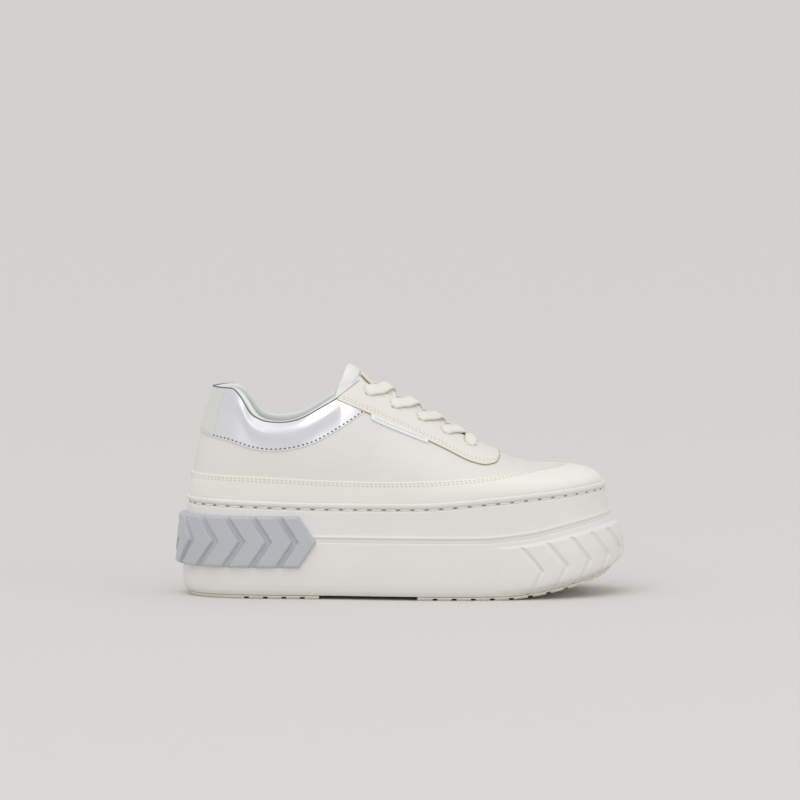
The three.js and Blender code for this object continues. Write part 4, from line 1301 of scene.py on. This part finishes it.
def curve_through(places, count):
    """A smooth line through a few places, evenly stepped; further columns are carried along."""
    places = np.asarray(places, float)
    padded = np.concatenate([[2 * places[0] - places[1]], places, [2 * places[-1] - places[-2]]])
    line = []
    for i in range(1, len(padded) - 2):
        t = np.linspace(0, 1, 24, endpoint=False)[:, None]
        a, b, c, d = padded[i - 1:i + 3]
        line.append(0.5 * (2 * b + (c - a) * t + (2 * a - 5 * b + 4 * c - d) * t**2
                           + (3 * b - a - 3 * c + d) * t**3))
    line = np.concatenate([*line, places[-1:]])
    run = np.concatenate([[0], np.cumsum(np.linalg.norm(np.diff(line[:, :3], axis=0), axis=1))])
    even_run = np.linspace(0, run[-1], count)
    return np.stack([np.interp(even_run, run, line[:, k]) for k in range(line.shape[1])], -1), even_run


def on_facing(side, girth, down, offset):
    """A place and the leather's normal there; down is the distance below the throat's edge."""
    g = np.array([side * girth])
    t = down_from(g, top_of(g), down)
    return on_upper(g, t, offset)[0], last_normal(g, t)[0]


def into_hole(hole):
    """The places of a strand's end: flat on the facing, over the hole, and down inside it."""
    g, t = hole
    normal, centre = last_normal(g, t), on_upper(g, t, 0.0)
    rise = FACING_THICK + LACE["above"]
    return [(centre + normal * rise * 0.8, normal), (centre - normal * 1.9, normal)]


def strand(side, start, end, hump, crossing=0.28, from_hole=False):
    """One strand, ending in a hole on its side; it starts on the other side of the throat."""
    near, far = abs(start[0]), abs(end[0])
    rise = FACING_THICK + LACE["above"]

    def between(part):
        return near + (far - near) * part

    if from_hole:
        other = into_hole(start)[::-1]
        places = [*other, on_facing(-side, between(0.2), 3.0, rise),
                  on_facing(-side, between(0.3), 0.2, rise)]
    else:
        places = [on_facing(-side, near, 5.5, -3.6), on_facing(-side, between(0.08), -0.2, -1.5)]
    middle = between(crossing)
    ridge = last_normal(middle, 1.0)
    places.append((last_point(middle, 1.0) + ridge * 0.4 + np.array([0, 0, hump]), ridge))
    hole_down = np.linalg.norm(on_facing(side, far, 0, 0)[0] - on_upper(*end, 0.0))
    places.append(on_facing(side, between(crossing + 0.34), 0.4, rise + 0.1))
    places.append(on_facing(side, between(crossing + 0.62), 0.6 * hole_down, rise))
    places += into_hole(end)
    points = np.array([place for place, _ in places])
    normals = np.array([normal for _, normal in places])
    run = unit(np.gradient(points, axis=0))
    run[-1] = run[-2] = unit(points[-2] - points[-3])
    run[0] = unit(points[2] - points[1]) if from_hole else run[0]
    aside = unit(np.cross(run, normals))
    path, length = curve_through(np.hstack([points, aside]), 72)
    to_end = length[-1] - length
    width = LACE["width"] - (LACE["width"] - LACE["hole"]) * (1 - fade(to_end, 1.8, 6.5))
    if from_hole:
        width = np.minimum(width, LACE["hole"] + (LACE["width"] - LACE["hole"]) * fade(length, 1.8, 6.5))
    return tube(path[:, :3], path[:, 3:], width, LACE["thick"], sides=20, square=2.9)


for pair in range(4):
    outer_over = strand(-1, eyelet_places[1][pair + 1], eyelet_places[-1][pair], 2.0)
    inner_over = strand(1, eyelet_places[-1][pair + 1], eyelet_places[1][pair], -0.3)
    points, faces, uv = joined([outer_over, inner_over])
    new_piece(f"lace_pair_{pair + 1}", points, faces, LACE_YARN, "lace_cream", [f"lace_cross_{pair + 1}"],
              uv=uv)
points, faces, uv = strand(-1, eyelet_places[1][4], eyelet_places[-1][4], 0.4, crossing=0.5, from_hole=True)
new_piece("lace_front_bar", points, faces, LACE_YARN, "lace_cream", ["lace_bar"], uv=uv)

# %% [markdown]
# ## Side tag
# A narrow white woven tag is caught under the facing on the outer side. It carries a row of fine
# evenly spaced stitches and nothing else.

# %% Side tag
TAG = {"back": (-18.5, 112.4), "front": (17.5, 97.2), "width": 4.2}


def make_tag():
    (x0, z0), (x1, z1) = TAG["back"], TAG["front"]
    slope = np.hypot(x1 - x0, z1 - z0)
    corners = {}
    for end, (x, z) in (("back", TAG["back"]), ("front", TAG["front"])):
        corners[end] = find_on_last(-1, x, z)
    (g0, t0), (g1, t1) = corners["back"], corners["front"]

    def place(a, b, offset):
        g = g0 + (g1 - g0) * a
        t = t0 + (t1 - t0) * a
        return on_upper(g, down_from(g, t, -TAG["width"] * b), offset + 0.45)

    tag = plate("side_tag", place, (60, 8), (slope, TAG["width"]), 0.8, 0.3, TAG_CLOTH, "lace_cream",
                sink=0.5)
    a = np.linspace(0.06, 0.94, 80)
    g, t = g0 + (g1 - g0) * a, t0 + (t1 - t0) * a
    t = down_from(g, t, -TAG["width"] * 0.5)
    stitches("side_tag_stitches", on_upper(g, t, 1.25), last_normal(g, t), 1.5, 0.8, 0.45, TAG_MARK,
             "lace_cream",
             sink=0.0)
    return tag


make_tag()

# %% [markdown]
# ## Studio
# A pale floor that reaches the horizon stands for floor and backdrop in one. The room's even light
# does most of the work; a soft high lamp without falloff gives the shadow under the toe, and two
# large soft boxes give the silver something to mirror.

# %% Studio
FLOOR_SIZE = 400.0
LAMP_STRENGTH = 0.8
LAMP_ANGLE = 50
AIR_STRENGTH = 0.68
AIR_COLOUR = (1, 0.992, 0.982, 1)


def make_floor():
    mesh = bpy.data.meshes.new("studio_floor")
    half = FLOOR_SIZE / 2
    mesh.from_pydata([(-half, -half, 0), (half, -half, 0), (half, half, 0), (-half, half, 0)], [],
                     [(0, 1, 2, 3)])
    mesh.materials.append(finish("studio_paper", linear(219, 216, 214), 0.85, 0.004))
    floor = bpy.data.objects.new("studio_floor", mesh)
    bpy.context.collection.objects.link(floor)


def aimed(lamp, place):
    lamp.location = place
    lamp.rotation_euler = (Vector((0, 0, 0.05)) - lamp.location).to_track_quat("-Z", "Y").to_euler()
    bpy.context.collection.objects.link(lamp)


def soft_box(name, place, size, watts):
    data = bpy.data.lights.new(name, "AREA")
    data.shape = "RECTANGLE"
    data.size, data.size_y = size
    data.energy = watts
    aimed(bpy.data.objects.new(name, data), place)


make_floor()
high_lamp = bpy.data.lights.new("high_lamp", "SUN")
high_lamp.energy = LAMP_STRENGTH
high_lamp.angle = math.radians(LAMP_ANGLE)
aimed(bpy.data.objects.new("high_lamp", high_lamp), (-0.5, -0.9, 2.6))
soft_box("front_box", (-1.2, -2.6, 1.6), (1.6, 1.2), 5)
soft_box("toe_box", (2.2, -1.5, 0.7), (1.4, 1.0), 7)
world = bpy.data.worlds.new("studio_air")
world.use_nodes = True
world.node_tree.nodes["Background"].inputs["Color"].default_value = AIR_COLOUR
world.node_tree.nodes["Background"].inputs["Strength"].default_value = AIR_STRENGTH
bpy.context.scene.world = world
bpy.context.scene.view_settings.view_transform = "Standard"
